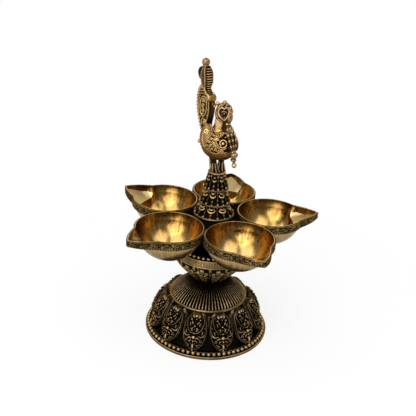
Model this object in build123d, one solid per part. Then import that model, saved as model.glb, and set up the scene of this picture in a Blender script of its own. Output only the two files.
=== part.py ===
from build123d import *
from math import atan2, cos, degrees, hypot, pi, radians, sin, sqrt
import os

# Five-bowl brass aarti lamp with a peacock finial, in millimetres.
# The origin is on the lamp's axis in the plane that it stands on, +Z is up and bowl_1 points to -Y.

# Fits shared by every piece
FIT_GAP = 0.10            # between a spigot or rod and its hole
BRAZE_GAP = 0.08          # filled with braze between curved seats
CAST_WALL = 2.6           # wall of the cast foot, dome and cup

# Foot with its lotus petals
FOOT_RADIUS = 50.0
FOOT_LAND = 5.5           # width of the flat ring that the lamp stands on
LIP_HEIGHT = 2.4
LIP_ROUND = 0.7
BEAD_RADIUS = 1.6
BEAD_PITCH = 4.05
BEAD_INSET = 2.5          # from the rim to the middle of the beads
BEAD_SIDES = 8
BEAD_FLATS = (-0.92, -0.45, 0.45, 0.92)    # levels of a cut bead's flats, in radii
SHELF_RISE = 1.6          # the shelf inside the beads above the lip
SHELF_WIDTH = 2.4
SKIRT_HEIGHT = 26.5
SKIRT_RUN = 13.3          # how far the skirt leans in from foot to top
SKIRT_BULGE = 0.8
PETAL_COUNT = 12
PETAL_TURN = 22.0         # of the first petal's middle, from X round towards Y
PETAL_ROUND = 12.4        # radius of a petal's back across its widest place
PETAL_RISE = 5.3          # petal's back above the skirt at its widest place
PETAL_FOOT_RISE = 2.0
PETAL_TOP_RISE = 3.2
PETAL_HALF_WIDTH = 9.1
PETAL_TOP_HALF = 5.4
PETAL_WIDEST = 0.48       # share of the way from the lower tip to the top
PETAL_OVERHANG = 0.8      # lower tip beyond the skirt's foot
SKIRT_BORE = 23.0         # radius of the hole in the skirt's top flange

# Fluted dome
DOME_HEIGHT = 16.5
DOME_EDGE = 0.4           # dome foot inside the skirt's top edge
DOME_NECK_RADIUS = 10.3
DOME_BULGE = 1.4          # dome's side beyond a straight cone
RING_RADIUS = 1.25        # rolled ring round the dome's foot
RIB_COUNT = 70
RIB_WIDTH = 0.9
RIB_RISE = 0.75
DOME_SPIGOT = 1.4

# Flared cup
CUP_HEIGHT = 27.5
CUP_BELLY_RADIUS = 28.6
CUP_MOUTH_RADIUS = 26.7
CUP_FOOT_RADIUS = 11.0
CUP_SHOULDER_DROP = 5.5   # from the mouth down to the widest place
CUP_FLARE_RISE = 0.38     # share of the flare's rise that is reached half-way out
CUP_RIM_WIDTH = 4.2
CUP_FLOOR = 7.0
CUP_BEAD_RADIUS = 1.35
CUP_BEAD_PITCH = 3.8
LEAF_COUNT = 14
LEAF_RISE = 1.0
LEAF_HALF_WIDTH = 4.6
LEAF_WIDEST = 0.7         # share of the way from the leaf's foot to its tip
LEAF_FOOT = 1.4           # leaf's foot above the cup's foot
LEAF_TIP = 0.5            # leaf's tip below the widest place of the cup
BUD_RADIUS = 1.5          # bud between two leaves' tips
BUD_DROP = 3.6            # bud's middle below the widest place of the cup

# Carrier between the bowls
CARRIER_HEIGHT = 27.5
CARRIER_FLANGE = 2.0
CARRIER_WAIST = 17.0
ARM_SETBACK = 4.0         # arm ends short of the place where two bowls meet
ARM_THICKNESS = 3.0
CARRIER_SPIGOT = 3.0

# Oil bowls
BOWL_COUNT = 5
BOWL_RADIUS = 25.4        # outside of the plain half sphere
BOWL_WALL = 1.5
BAND_RISE = 0.5           # engraved band stands proud of the half sphere
BAND_HEIGHT = 6.8
BOWL_GAP = 0.3            # between the bands of two neighbours
RIM_RISE = 2.0            # rim above the carrier's top
SPOUT_REACH = 38.8        # bowl's middle to the tip of its spout
SPOUT_ROOT_ANGLE = 34.0   # where the spout's sides leave the bowl
SPOUT_SIDE_BULGE = 1.5
SPOUT_DEPTH = 5.6         # from the rim down to the spout's floor
TIP_ROUND = 1.2

# Three-tier column
TIER_HEIGHTS = (10.6, 11.6, 12.0)      # from the bottom tier up
TIER_RADII = (15.6, 11.7, 9.5)         # at each tier's lower ring
TIER_TOP_RADII = (9.8, 7.9, 6.3)
TIER_RING = 0.9
MOTIF_COUNT = 8
MOTIF_RADIUS = 1.25
MOTIF_WIDEST = 0.72       # share of the way from a drop's foot to its top
MOTIF_BEAD_RADIUS = 0.75

# Tie rod, clamp plate, nut and finial stud
ROD_RADIUS = 3.0
ROD_INTO_COLUMN = 14.0
ROD_BELOW_NUT = 2.0
CLAMP_LAP = 2.6           # clamp plate under the edge of the skirt's bore
CLAMP_THICKNESS = 2.5
NUT_ACROSS_FLATS = 10.0
NUT_HEIGHT = 5.0
STUD_RADIUS = 2.0
STUD_INTO_COLUMN = 9.0

# Peacock, in its own frame: X forward, Y to its left, Z up from the column's top
BIRD_TURN = 18.2          # from bowl_1's direction round towards bowl_2
PLINTH_RADIUS = 6.1
PLINTH_HEIGHT = 1.6
LEG_HEIGHT = 11.7
LEG_SPACING = 6.0
LEG_FOOT_RADIUS = 3.3
LEG_TOP_RADIUS = 2.8
TOE_COUNT = 3
TOE_RADIUS = 0.9
TOE_FAN = 120.0
BODY_LENGTH = 29.0
BODY_RADIUS = 11.0
BODY_TILT = 12.0          # breast up
BODY_SINK = 2.2           # legs' tops above the body's underside
WING_LENGTH = 25.0        # folded, tip down
WING_RADIUS = 5.2
WING_LEAN = 10.0          # shoulders back
WING_SETBACK = 5.8
WING_SPREAD = 13.4        # between the wings' middles
WING_LIFT = 5.6           # wing's middle above the body's
KNOB_RADIUS = 1.4
KNOB_STEM = 6.8
NECK_FOOT_RADIUS = 5.0
NECK_TOP_RADIUS = 4.2
NECK_RISE = 21.0          # body's middle to the neck's top
NECK_SETBACK = 2.0
NECK_LEAN = 3.5
HEAD_LENGTH = 14.5
HEAD_RADIUS = 6.0
HEAD_LEAD = 1.6           # head's middle ahead of the neck's top
HEAD_SINK = 2.0
BEAK_LENGTH = 6.6
BEAK_RADIUS = 2.3
BEAK_TIP_RADIUS = 0.5
BEAK_LEAD = 3.2           # beak's root ahead of the head's middle
BEAK_DROP = 76.0          # beak's slope below level
CREST_BALL_RADIUS = 1.6
EGG_LEAD = 0.06           # widest place of body and head ahead of their middle, in lengths

# Peacock tail, upright in the bird's middle plane
TAIL_THICKNESS = 6.0
TAIL_SETBACK = 9.6        # widest front edge behind the axis
TAIL_DEPTH = 13.4
TAIL_RISE = 31.0          # body's middle to the plate's widest place
TAIL_PLATE_TOP = 41.5     # body's middle to the narrow place under the curl
TAIL_NECK_DEPTH = 3.6
TAIL_FOOT_DEPTH = 4.0
CURL_HEIGHT = 15.0
CURL_DEPTH = 5.6
CURL_THICKNESS = 8.0
CURL_LAP = 1.6            # curl reaches into the plate's top
TAIL_BALL_RADIUS = 2.9
TAIL_BALL_LAP = 0.8
PLUME_REACH = 5.0
PLUME_RADIUS = 0.9
PLUME_BALL_RADIUS = 1.35
CURL_RIB_COUNT = 9
CURL_RIB_RISE = 0.6
CURL_RIB_HEIGHT = 0.9
CURL_RIB_ARC = 110.0      # of the curl's front that the ribs cover

# Bead strand from the beak
STRAND_LENGTH = 22.0
STRAND_LEAN = 26.0        # off plumb, along the breast
STRING_COUNT = 3
STRING_BEADS = 11
STRING_RADIUS = 0.9
STRING_NECK_RADIUS = 0.55
STRING_GAP = 0.1          # between two strings' beads
STRING_SIDES = 6
STRAND_BAR_RADIUS = 1.4   # bar in the beak that the strings hang from
STRAND_CAP_RADIUS = 3.0
STRAND_CAP_HEIGHT = 2.4
STRAND_BUD_RADIUS = 2.1
STRAND_BUD_HEIGHT = 4.6
STRAND_BALL_RADIUS = 1.8

# Levels, from the foot up
SHELF_LEVEL = LIP_HEIGHT + SHELF_RISE
SKIRT_TOP = SHELF_LEVEL + SKIRT_HEIGHT
DOME_TOP = SKIRT_TOP + DOME_HEIGHT
CUP_TOP = DOME_TOP + CUP_HEIGHT
CUP_BELLY_LEVEL = CUP_TOP - CUP_SHOULDER_DROP
CARRIER_TOP = CUP_TOP + CARRIER_HEIGHT
RIM_LEVEL = CARRIER_TOP + RIM_RISE
COLUMN_TOP = CARRIER_TOP + sum(TIER_HEIGHTS)
CLAMP_TOP = SKIRT_TOP - CAST_WALL

# Radii that several pieces share
BEAD_RING_RADIUS = FOOT_RADIUS - BEAD_INSET
SHELF_RADIUS = BEAD_RING_RADIUS - BEAD_RADIUS - FIT_GAP
SKIRT_FOOT_RADIUS = SHELF_RADIUS - SHELF_WIDTH
SKIRT_TOP_RADIUS = SKIRT_FOOT_RADIUS - SKIRT_RUN
DOME_RADIUS = SKIRT_TOP_RADIUS - DOME_EDGE
ROD_HOLE = ROD_RADIUS + FIT_GAP
BAND_RADIUS = BOWL_RADIUS + BAND_RISE
HALF_STEP = 180.0 / BOWL_COUNT
BOWL_ORBIT = (BAND_RADIUS + BOWL_GAP / 2) / sin(radians(HALF_STEP))
CUP_INNER_MOUTH = CUP_MOUTH_RADIUS - CUP_RIM_WIDTH

# Heights and places in the bird's frame
BODY_MIDDLE = PLINTH_HEIGHT + LEG_HEIGHT + BODY_RADIUS - BODY_SINK
NECK_TOP = BODY_MIDDLE + NECK_RISE
HEAD_MIDDLE = NECK_TOP + HEAD_RADIUS - HEAD_SINK
HEAD_PLACE = NECK_LEAN - NECK_SETBACK + HEAD_LEAD
BEAK_PLACE = HEAD_PLACE + BEAK_LEAD
BEAK_TIP = (
    BEAK_PLACE + BEAK_LENGTH * cos(radians(BEAK_DROP)),
    HEAD_MIDDLE - BEAK_LENGTH * sin(radians(BEAK_DROP)),
)
BIRD_PLACE = Pos(0, 0, COLUMN_TOP) * Rot(0, 0, BIRD_TURN - 90.0)


def face_of(*edges):
    return make_face(edges)


def turned(*edges):
    """A solid of revolution about the lamp's axis from an outline of radius and height."""
    return revolve(Plane.XZ * face_of(*edges), Axis.Z)


def around(count, shape, start=0.0):
    """Copies of a shape turned evenly about the lamp's axis."""
    return [Rot(0, 0, start + 360.0 / count * k) * shape for k in range(count)]


def spread(count, span):
    """Evenly spaced values over a span with its middle at zero."""
    return [(k - (count - 1) / 2) * span / count for k in range(count)]


def cut_bead(radius):
    """A bead cut in flats: a ruled loft through four polygons."""
    rings = [
        Pos(0, 0, radius * level) * RegularPolygon(radius * sqrt(1 - level**2), BEAD_SIDES)
        for level in BEAD_FLATS
    ]
    return loft(rings, ruled=True)


def bead_row(radius, ring_radius, level, pitch):
    count = round(2 * pi * ring_radius / pitch)
    return Compound(around(count, Pos(ring_radius, 0, level) * cut_bead(radius)))


def skirt_edge(inset, foot_level, top_level):
    """The skirt's side, moved in by inset, from one level to the other."""
    foot = Vector(SKIRT_FOOT_RADIUS - inset, foot_level)
    top = Vector(SKIRT_TOP_RADIUS - inset, top_level)
    middle = (foot + top) / 2 + Vector(SKIRT_HEIGHT, SKIRT_RUN).normalized() * SKIRT_BULGE
    return ThreePointArc(foot, middle, top)


def petal():
    """One petal: a tongue with a round back, laid along the skirt from its foot to its top."""
    slope = SKIRT_RUN / SKIRT_HEIGHT
    tip = -PETAL_OVERHANG
    top = hypot(SKIRT_RUN, SKIRT_HEIGHT) - PETAL_TOP_RISE * slope
    widest = tip + PETAL_WIDEST * (top - tip)
    sink = PETAL_ROUND - PETAL_RISE
    foot_radius, top_radius = sink + PETAL_FOOT_RISE, sink + PETAL_TOP_RISE
    back = revolve(
        face_of(
            ThreePointArc((tip, foot_radius), (widest, PETAL_ROUND), (top, top_radius)),
            Polyline((top, top_radius), (top, 0), (tip, 0), (tip, foot_radius)),
        ),
        Axis.X,
    )
    side = Spline(
        (tip, 0), (widest, PETAL_HALF_WIDTH), (top, PETAL_TOP_HALF), tangents=[(0, 1), (1, -slope)]
    )
    far_side = Spline(
        (tip, 0), (widest, -PETAL_HALF_WIDTH), (top, -PETAL_TOP_HALF), tangents=[(0, -1), (1, slope)]
    )
    top_edge = Line((top, PETAL_TOP_HALF), (top, -PETAL_TOP_HALF))
    tongue = extrude(face_of(side, far_side, top_edge), PETAL_ROUND)
    lean = degrees(atan2(SKIRT_HEIGHT, -SKIRT_RUN))
    inward = Vector(-SKIRT_HEIGHT, -SKIRT_RUN).normalized() * sink
    foot = Vector(SKIRT_FOOT_RADIUS, SHELF_LEVEL) + inward
    petal_only = back & Pos(0, 0, sink - CAST_WALL / 2) * tongue
    return Pos(foot.X, 0, foot.Y) * Rot(0, -lean, 0) * Rot(180, 0, 0) * petal_only


def lotus_base():
    """Hollow foot: rim, bead channel, shelf and petalled skirt with an open flange on top."""
    land = FOOT_RADIUS - FOOT_LAND
    outer = turned(
        Polyline((0, SKIRT_TOP), (0, 0), (FOOT_RADIUS - LIP_ROUND, 0)),
        RadiusArc((FOOT_RADIUS - LIP_ROUND, 0), (FOOT_RADIUS, LIP_ROUND), -LIP_ROUND),
        Line((FOOT_RADIUS, LIP_ROUND), (FOOT_RADIUS, LIP_HEIGHT - LIP_ROUND)),
        RadiusArc(
            (FOOT_RADIUS, LIP_HEIGHT - LIP_ROUND), (FOOT_RADIUS - LIP_ROUND, LIP_HEIGHT), -LIP_ROUND
        ),
        Polyline(
            (FOOT_RADIUS - LIP_ROUND, LIP_HEIGHT),
            (SHELF_RADIUS, LIP_HEIGHT),
            (SHELF_RADIUS, SHELF_LEVEL),
            (SKIRT_FOOT_RADIUS, SHELF_LEVEL),
        ),
        skirt_edge(0, SHELF_LEVEL, SKIRT_TOP),
        Line((SKIRT_TOP_RADIUS, SKIRT_TOP), (0, SKIRT_TOP)),
    )
    hollow = turned(
        Polyline((0, CLAMP_TOP), (0, 0), (land, 0), (SKIRT_FOOT_RADIUS - CAST_WALL, LIP_HEIGHT)),
        skirt_edge(CAST_WALL, LIP_HEIGHT, CLAMP_TOP),
        Line((SKIRT_TOP_RADIUS - CAST_WALL, CLAMP_TOP), (0, CLAMP_TOP)),
    )
    bore = Pos(0, 0, SKIRT_TOP) * Cylinder(SKIRT_BORE, 4 * CAST_WALL)
    return outer + around(PETAL_COUNT, petal(), PETAL_TURN) - hollow - bore


def dome_arc(neck_offset=0.0, middle_offset=0.0, foot_offset=0.0):
    """The dome's bowed side from its neck to its foot, moved out at each place by an offset."""
    neck = Vector(DOME_NECK_RADIUS, DOME_TOP)
    foot = Vector(DOME_RADIUS, SKIRT_TOP)
    out = Vector(neck.Y - foot.Y, foot.X - neck.X).normalized()
    return ThreePointArc(
        neck + Vector(neck_offset, 0),
        (neck + foot) / 2 + out * (DOME_BULGE + middle_offset),
        foot + Vector(foot_offset, 0),
    )


def rib():
    """One raised rib, a thin plate on the dome's side that dies out at the neck."""
    crest = dome_arc(0, RIB_RISE, RIB_RISE / 2)
    root = dome_arc(-CAST_WALL / 2, -CAST_WALL / 2, -CAST_WALL / 2)
    outline = face_of(crest, Line(crest @ 1, root @ 1), root, Line(root @ 0, crest @ 0))
    return extrude(Plane.XZ * outline, RIB_WIDTH / 2, both=True)


def fluted_dome():
    """Ribbed shell with a rolled ring, a crown for the cup and a spigot in the skirt's bore."""
    inner_neck = DOME_NECK_RADIUS - CAST_WALL
    shell = turned(
        dome_arc(),
        Line((DOME_RADIUS, SKIRT_TOP), (0, SKIRT_TOP)),
        Polyline((0, SKIRT_TOP), (0, DOME_TOP), (DOME_NECK_RADIUS, DOME_TOP)),
    )
    ring = Pos(0, 0, SKIRT_TOP + RING_RADIUS) * Torus(DOME_RADIUS, RING_RADIUS)
    spigot = Pos(0, 0, SKIRT_TOP) * Cylinder(
        SKIRT_BORE - FIT_GAP, DOME_SPIGOT, align=(Align.CENTER, Align.CENTER, Align.MAX)
    )
    hollow_radius = SKIRT_BORE - FIT_GAP - CAST_WALL
    hollow = turned(
        Polyline(
            (0, DOME_TOP - 2 * CAST_WALL),
            (inner_neck, DOME_TOP - 2 * CAST_WALL),
            (hollow_radius, SKIRT_TOP + CAST_WALL),
            (hollow_radius, SKIRT_TOP - DOME_SPIGOT),
            (0, SKIRT_TOP - DOME_SPIGOT),
            close=True,
        )
    )
    rod_hole = Pos(0, 0, DOME_TOP) * Cylinder(ROD_HOLE, 6 * CAST_WALL)
    return shell + ring + spigot + around(RIB_COUNT, rib()) - hollow - rod_hole


def cup_body(grow=0.0):
    """The cup's plain outside as a solid, grown where the leaves stand on it."""
    run = CUP_BELLY_RADIUS - CUP_FOOT_RADIUS
    rise = CUP_BELLY_LEVEL - DOME_TOP
    foot = Vector(CUP_FOOT_RADIUS, DOME_TOP) + Vector(1, -2).normalized() * grow
    flare = Vector(CUP_FOOT_RADIUS + run / 2, DOME_TOP + CUP_FLARE_RISE * rise)
    mouth = Vector(CUP_MOUTH_RADIUS + grow, CUP_TOP)
    side = Spline(
        foot,
        flare + Vector(rise, -run).normalized() * grow,
        (CUP_BELLY_RADIUS + grow, CUP_BELLY_LEVEL),
        mouth,
        tangents=[(1, 0.5), (-0.45, 1)],
    )
    return turned(side, Line(mouth, (0, CUP_TOP)), Polyline((0, CUP_TOP), (0, foot.Y), foot))


def cup_leaf():
    """One upright leaf that lies on the cup's flare, with a bud beside its tip."""
    foot = DOME_TOP + LEAF_FOOT
    tip = CUP_BELLY_LEVEL - LEAF_TIP
    widest = foot + LEAF_WIDEST * (tip - foot)
    side = Spline((0, foot), (LEAF_HALF_WIDTH, widest), (0, tip), tangents=[(0.2, 1), (-1, 0.8)])
    far_side = Spline((0, foot), (-LEAF_HALF_WIDTH, widest), (0, tip), tangents=[(-0.2, 1), (1, 0.8)])
    outline = extrude(Plane.YZ * face_of(side, far_side), 2 * CUP_BELLY_RADIUS)
    leaf = (cup_body(LEAF_RISE) & outline) - cup_body(-LEAF_RISE)
    bud_level = CUP_BELLY_LEVEL - BUD_DROP
    bud = Pos(CUP_BELLY_RADIUS - BUD_RADIUS, 0, bud_level) * Sphere(BUD_RADIUS)
    return [leaf, Rot(0, 0, 180.0 / LEAF_COUNT) * bud]


def lotus_cup():
    """Flared cup on a thick floor, with upright leaves cast round its lower part."""
    inner_shoulder = CUP_BELLY_LEVEL - CUP_SHOULDER_DROP
    floor = DOME_TOP + CUP_FLOOR
    inside = turned(
        Polyline(
            (0, CUP_TOP),
            (0, floor),
            (CUP_FOOT_RADIUS, floor),
            (CUP_INNER_MOUTH, inner_shoulder),
            (CUP_INNER_MOUTH, CUP_TOP),
            close=True,
        )
    )
    rod_hole = Pos(0, 0, DOME_TOP) * Cylinder(ROD_HOLE, 4 * CUP_FLOOR)
    leaf, bud = cup_leaf()
    return cup_body() + around(LEAF_COUNT, leaf) + around(LEAF_COUNT, bud) - inside - rod_hole


def bowl_turn(index):
    return -90.0 + 360.0 / BOWL_COUNT * index


def bowl_place(index):
    """The frame of one bowl: its middle in the rim's plane, with X out along its spout."""
    return Rot(0, 0, bowl_turn(index)) * Pos(BOWL_ORBIT, 0, RIM_LEVEL)


def bowl_carrier():
    """Funnel with five hollow seats for the bowls, on a flange in the cup's mouth."""
    reach = BOWL_ORBIT * cos(radians(HALF_STEP)) - ARM_SETBACK
    flange_top = CUP_TOP + CARRIER_FLANGE
    flange_radius = CUP_MOUTH_RADIUS - 2 * CUP_BEAD_RADIUS - FIT_GAP
    funnel = turned(
        Polyline(
            (0, CARRIER_TOP),
            (0, CUP_TOP - CARRIER_SPIGOT),
            (CUP_INNER_MOUTH - FIT_GAP, CUP_TOP - CARRIER_SPIGOT),
            (CUP_INNER_MOUTH - FIT_GAP, CUP_TOP),
            (flange_radius, CUP_TOP),
            (flange_radius, flange_top),
            (CARRIER_WAIST, flange_top),
        ),
        Spline(
            (CARRIER_WAIST, flange_top),
            (reach, CARRIER_TOP - ARM_THICKNESS),
            tangents=[(0, 1), (1, 0.35)],
        ),
        Polyline((reach, CARRIER_TOP - ARM_THICKNESS), (reach, CARRIER_TOP), (0, CARRIER_TOP)),
    )
    rod_hole = Pos(0, 0, CUP_TOP) * Cylinder(ROD_HOLE, 3 * CARRIER_HEIGHT)
    seat_radius = BAND_RADIUS + BRAZE_GAP
    seats = [bowl_place(k) * Sphere(seat_radius) for k in range(BOWL_COUNT)]
    return funnel - seats - rod_hole


def spout_outline(radius, reach):
    """The plan of a spout: bowed sides from a circle to a tip."""
    root_turn = radians(SPOUT_ROOT_ANGLE)
    root = Vector(radius * cos(root_turn), radius * sin(root_turn))
    tip = Vector(reach, 0)
    across = Vector(root.Y, reach - root.X).normalized() * SPOUT_SIDE_BULGE
    middle = (root + tip) / 2 + across
    mirrored = Vector(middle.X, -middle.Y)
    far_root = Vector(root.X, -root.Y)
    outline = face_of(
        ThreePointArc(root, middle, tip),
        ThreePointArc(tip, mirrored, far_root),
        Polyline(far_root, (0, 0), root),
    )
    return fillet(outline.vertices().sort_by(Axis.X)[-1], TIP_ROUND)


def bowl():
    """Half-sphere bowl with a shelf-floored wick spout and a raised band under its rim."""
    below = Cylinder(SPOUT_REACH, 2 * SPOUT_REACH, align=(Align.CENTER, Align.CENTER, Align.MAX))
    band_slab = Cylinder(SPOUT_REACH, BAND_HEIGHT, align=(Align.CENTER, Align.CENTER, Align.MAX))
    ball = Sphere(BOWL_RADIUS) & below
    band = Sphere(BAND_RADIUS) & band_slab
    spout = extrude(spout_outline(BAND_RADIUS, SPOUT_REACH), -(SPOUT_DEPTH + BOWL_WALL))
    inner_radius = BOWL_RADIUS - BOWL_WALL
    tray_reach = SPOUT_REACH - BOWL_WALL / sin(radians(90.0 - SPOUT_ROOT_ANGLE))
    tray = extrude(spout_outline(inner_radius, tray_reach), -SPOUT_DEPTH)
    return ball + band + spout - Sphere(inner_radius) - tray


def tier(level, height, radius, top_radius):
    """One bell-shaped tier on its ring."""
    return turned(
        Polyline((0, level + height), (0, level), (radius - TIER_RING, level)),
        ThreePointArc(
            (radius - TIER_RING, level),
            (radius, level + TIER_RING),
            (radius - TIER_RING, level + 2 * TIER_RING),
        ),
        Spline(
            (radius - TIER_RING, level + 2 * TIER_RING),
            (top_radius, level + height),
            tangents=[(-1, 0.7), (-0.1, 1)],
        ),
        Line((top_radius, level + height), (0, level + height)),
    )


def motif(level, height, radius, top_radius):
    """An upright drop that leans on a tier, with a bead at its foot."""
    foot_radius = radius - TIER_RING - MOTIF_RADIUS / 2
    rise = height - 2 * TIER_RING - MOTIF_RADIUS
    run = foot_radius - top_radius
    length = hypot(rise, run)
    drop = revolve(
        face_of(
            Spline(
                (0, 0), (MOTIF_WIDEST * length, MOTIF_RADIUS), (length, 0), tangents=[(1, 0.15), (0, -1)]
            ),
            Line((length, 0), (0, 0)),
        ),
        Axis.X,
    )
    lean = degrees(atan2(rise, -run))
    foot = Pos(foot_radius, 0, level + 2 * TIER_RING)
    return foot * Rot(0, -lean, 0) * drop + foot * Sphere(MOTIF_BEAD_RADIUS)


def tiered_column():
    """Three stacked tiers with upright drops, drilled for the tie rod and the finial stud."""
    level = CARRIER_TOP
    pieces = []
    for height, radius, top_radius in zip(TIER_HEIGHTS, TIER_RADII, TIER_TOP_RADII):
        pieces.append(tier(level, height, radius, top_radius))
        pieces += around(MOTIF_COUNT, motif(level, height, radius, top_radius), 180.0 / MOTIF_COUNT)
        level += height
    rod_hole = Pos(0, 0, CARRIER_TOP) * Cylinder(
        ROD_RADIUS, ROD_INTO_COLUMN, align=(Align.CENTER, Align.CENTER, Align.MIN)
    )
    stud_hole = Pos(0, 0, COLUMN_TOP) * Cylinder(
        STUD_RADIUS, STUD_INTO_COLUMN, align=(Align.CENTER, Align.CENTER, Align.MAX)
    )
    return pieces[0] + pieces[1:] - rod_hole - stud_hole


def tie_rod():
    """Threaded rod from below the nut up into the column."""
    bottom = CLAMP_TOP - CLAMP_THICKNESS - NUT_HEIGHT - ROD_BELOW_NUT
    length = CARRIER_TOP + ROD_INTO_COLUMN - FIT_GAP - bottom
    rod = Cylinder(ROD_RADIUS - FIT_GAP / 2, length, align=(Align.CENTER, Align.CENTER, Align.MIN))
    return Pos(0, 0, bottom) * rod


def clamp_plate():
    """Disc that bridges the skirt's bore from below."""
    disc = Cylinder(
        SKIRT_BORE + CLAMP_LAP, CLAMP_THICKNESS, align=(Align.CENTER, Align.CENTER, Align.MAX)
    )
    return Pos(0, 0, CLAMP_TOP) * (disc - Cylinder(ROD_HOLE, 3 * CLAMP_THICKNESS))


def tie_nut():
    """Hexagon nut under the clamp plate."""
    hexagon = RegularPolygon(NUT_ACROSS_FLATS / 2, 6, major_radius=False) - Circle(ROD_RADIUS)
    return Pos(0, 0, CLAMP_TOP - CLAMP_THICKNESS) * extrude(hexagon, -NUT_HEIGHT)


def finial_stud():
    """Stud from the column's top through the bird's plinth."""
    length = STUD_INTO_COLUMN + PLINTH_HEIGHT - FIT_GAP
    stud = Cylinder(STUD_RADIUS - FIT_GAP / 2, length, align=(Align.CENTER, Align.CENTER, Align.MIN))
    return Pos(0, 0, COLUMN_TOP + PLINTH_HEIGHT - length) * stud


def egg(length, radius):
    """A round form, blunt at its front, about the X axis with its middle at the origin."""
    side = Spline(
        (-length / 2, 0), (EGG_LEAD * length, radius), (length / 2, 0), tangents=[(0.45, 1), (0, -1)]
    )
    half = revolve(
        face_of(side, Line((length / 2, 0), (-length / 2, 0))), Axis.X, revolution_arc=180
    )
    return half + Rot(180, 0, 0) * half


def bird_body(grow=0.0):
    """The bird's plain body, grown by a gap where another piece seats on it."""
    return Pos(0, 0, BODY_MIDDLE) * Rot(0, -BODY_TILT, 0) * egg(
        BODY_LENGTH + 2 * grow, BODY_RADIUS + grow
    )


def bird_head(grow=0.0):
    """Head and beak, grown by a gap where another piece seats on them."""
    skull = egg(HEAD_LENGTH + 2 * grow, HEAD_RADIUS + grow)
    beak = Rot(0, 90 + BEAK_DROP, 0) * Cone(
        BEAK_RADIUS + grow,
        BEAK_TIP_RADIUS + grow,
        BEAK_LENGTH,
        align=(Align.CENTER, Align.CENTER, Align.MIN),
    )
    return Pos(HEAD_PLACE, 0, HEAD_MIDDLE) * skull + Pos(BEAK_PLACE, 0, HEAD_MIDDLE) * beak


def leg(side):
    """One feathered leg with three toes on the plinth."""
    shank = Cone(
        LEG_FOOT_RADIUS, LEG_TOP_RADIUS, LEG_HEIGHT, align=(Align.CENTER, Align.CENTER, Align.MIN)
    )
    above = Box(
        4 * TOE_RADIUS, 4 * TOE_RADIUS, 2 * TOE_RADIUS, align=(Align.CENTER, Align.CENTER, Align.MIN)
    )
    toes = [
        Rot(0, 0, turn) * Pos(LEG_FOOT_RADIUS, 0, 0) * (Sphere(TOE_RADIUS) & above)
        for turn in spread(TOE_COUNT, TOE_FAN)
    ]
    return Pos(0, side * LEG_SPACING / 2, PLINTH_HEIGHT) * (shank + toes)


def peacock_body():
    """Plinth, legs, body, wings, neck and head as one casting."""
    plinth = Cylinder(PLINTH_RADIUS, PLINTH_HEIGHT, align=(Align.CENTER, Align.CENTER, Align.MIN))
    neck = loft(
        [
            Pos(-NECK_SETBACK, 0, BODY_MIDDLE + BODY_RADIUS / 2) * Circle(NECK_FOOT_RADIUS),
            Pos(NECK_LEAN - NECK_SETBACK, 0, NECK_TOP) * Circle(NECK_TOP_RADIUS),
        ]
    )
    wing_tip = (WING_LENGTH / 2, 0)
    wing_root = (-WING_LENGTH / 2, 0)
    wing_side = ThreePointArc(wing_root, (0, WING_RADIUS), wing_tip)
    wing_half = revolve(face_of(wing_side, Line(wing_tip, wing_root)), Axis.X, revolution_arc=180)
    wing = Rot(0, -90 - WING_LEAN, 0) * (wing_half + Rot(180, 0, 0) * wing_half)
    wings = [
        Pos(-WING_SETBACK, side * WING_SPREAD / 2, BODY_MIDDLE + WING_LIFT) * wing for side in (-1, 1)
    ]
    crest_level = HEAD_MIDDLE + HEAD_RADIUS + CREST_BALL_RADIUS / 2
    crest = Pos(HEAD_PLACE - HEAD_LEAD / 2, 0, crest_level) * Sphere(CREST_BALL_RADIUS)
    rear = Pos(0, 0, BODY_MIDDLE) * Rot(0, -BODY_TILT, 0) * Pos(-BODY_LENGTH / 2, 0, 0)
    stem = rear * Rot(0, 90, 0) * Cylinder(KNOB_RADIUS / 2, 2 * KNOB_STEM)
    knob = rear * Pos(-KNOB_STEM, 0, 0) * Sphere(KNOB_RADIUS)
    bird = bird_body() + wings + [plinth, leg(-1), leg(1), neck, bird_head(), crest, stem, knob]
    stud_hole = Cylinder(STUD_RADIUS, 2 * PLINTH_HEIGHT)
    return BIRD_PLACE * (bird - stud_hole)


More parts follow.
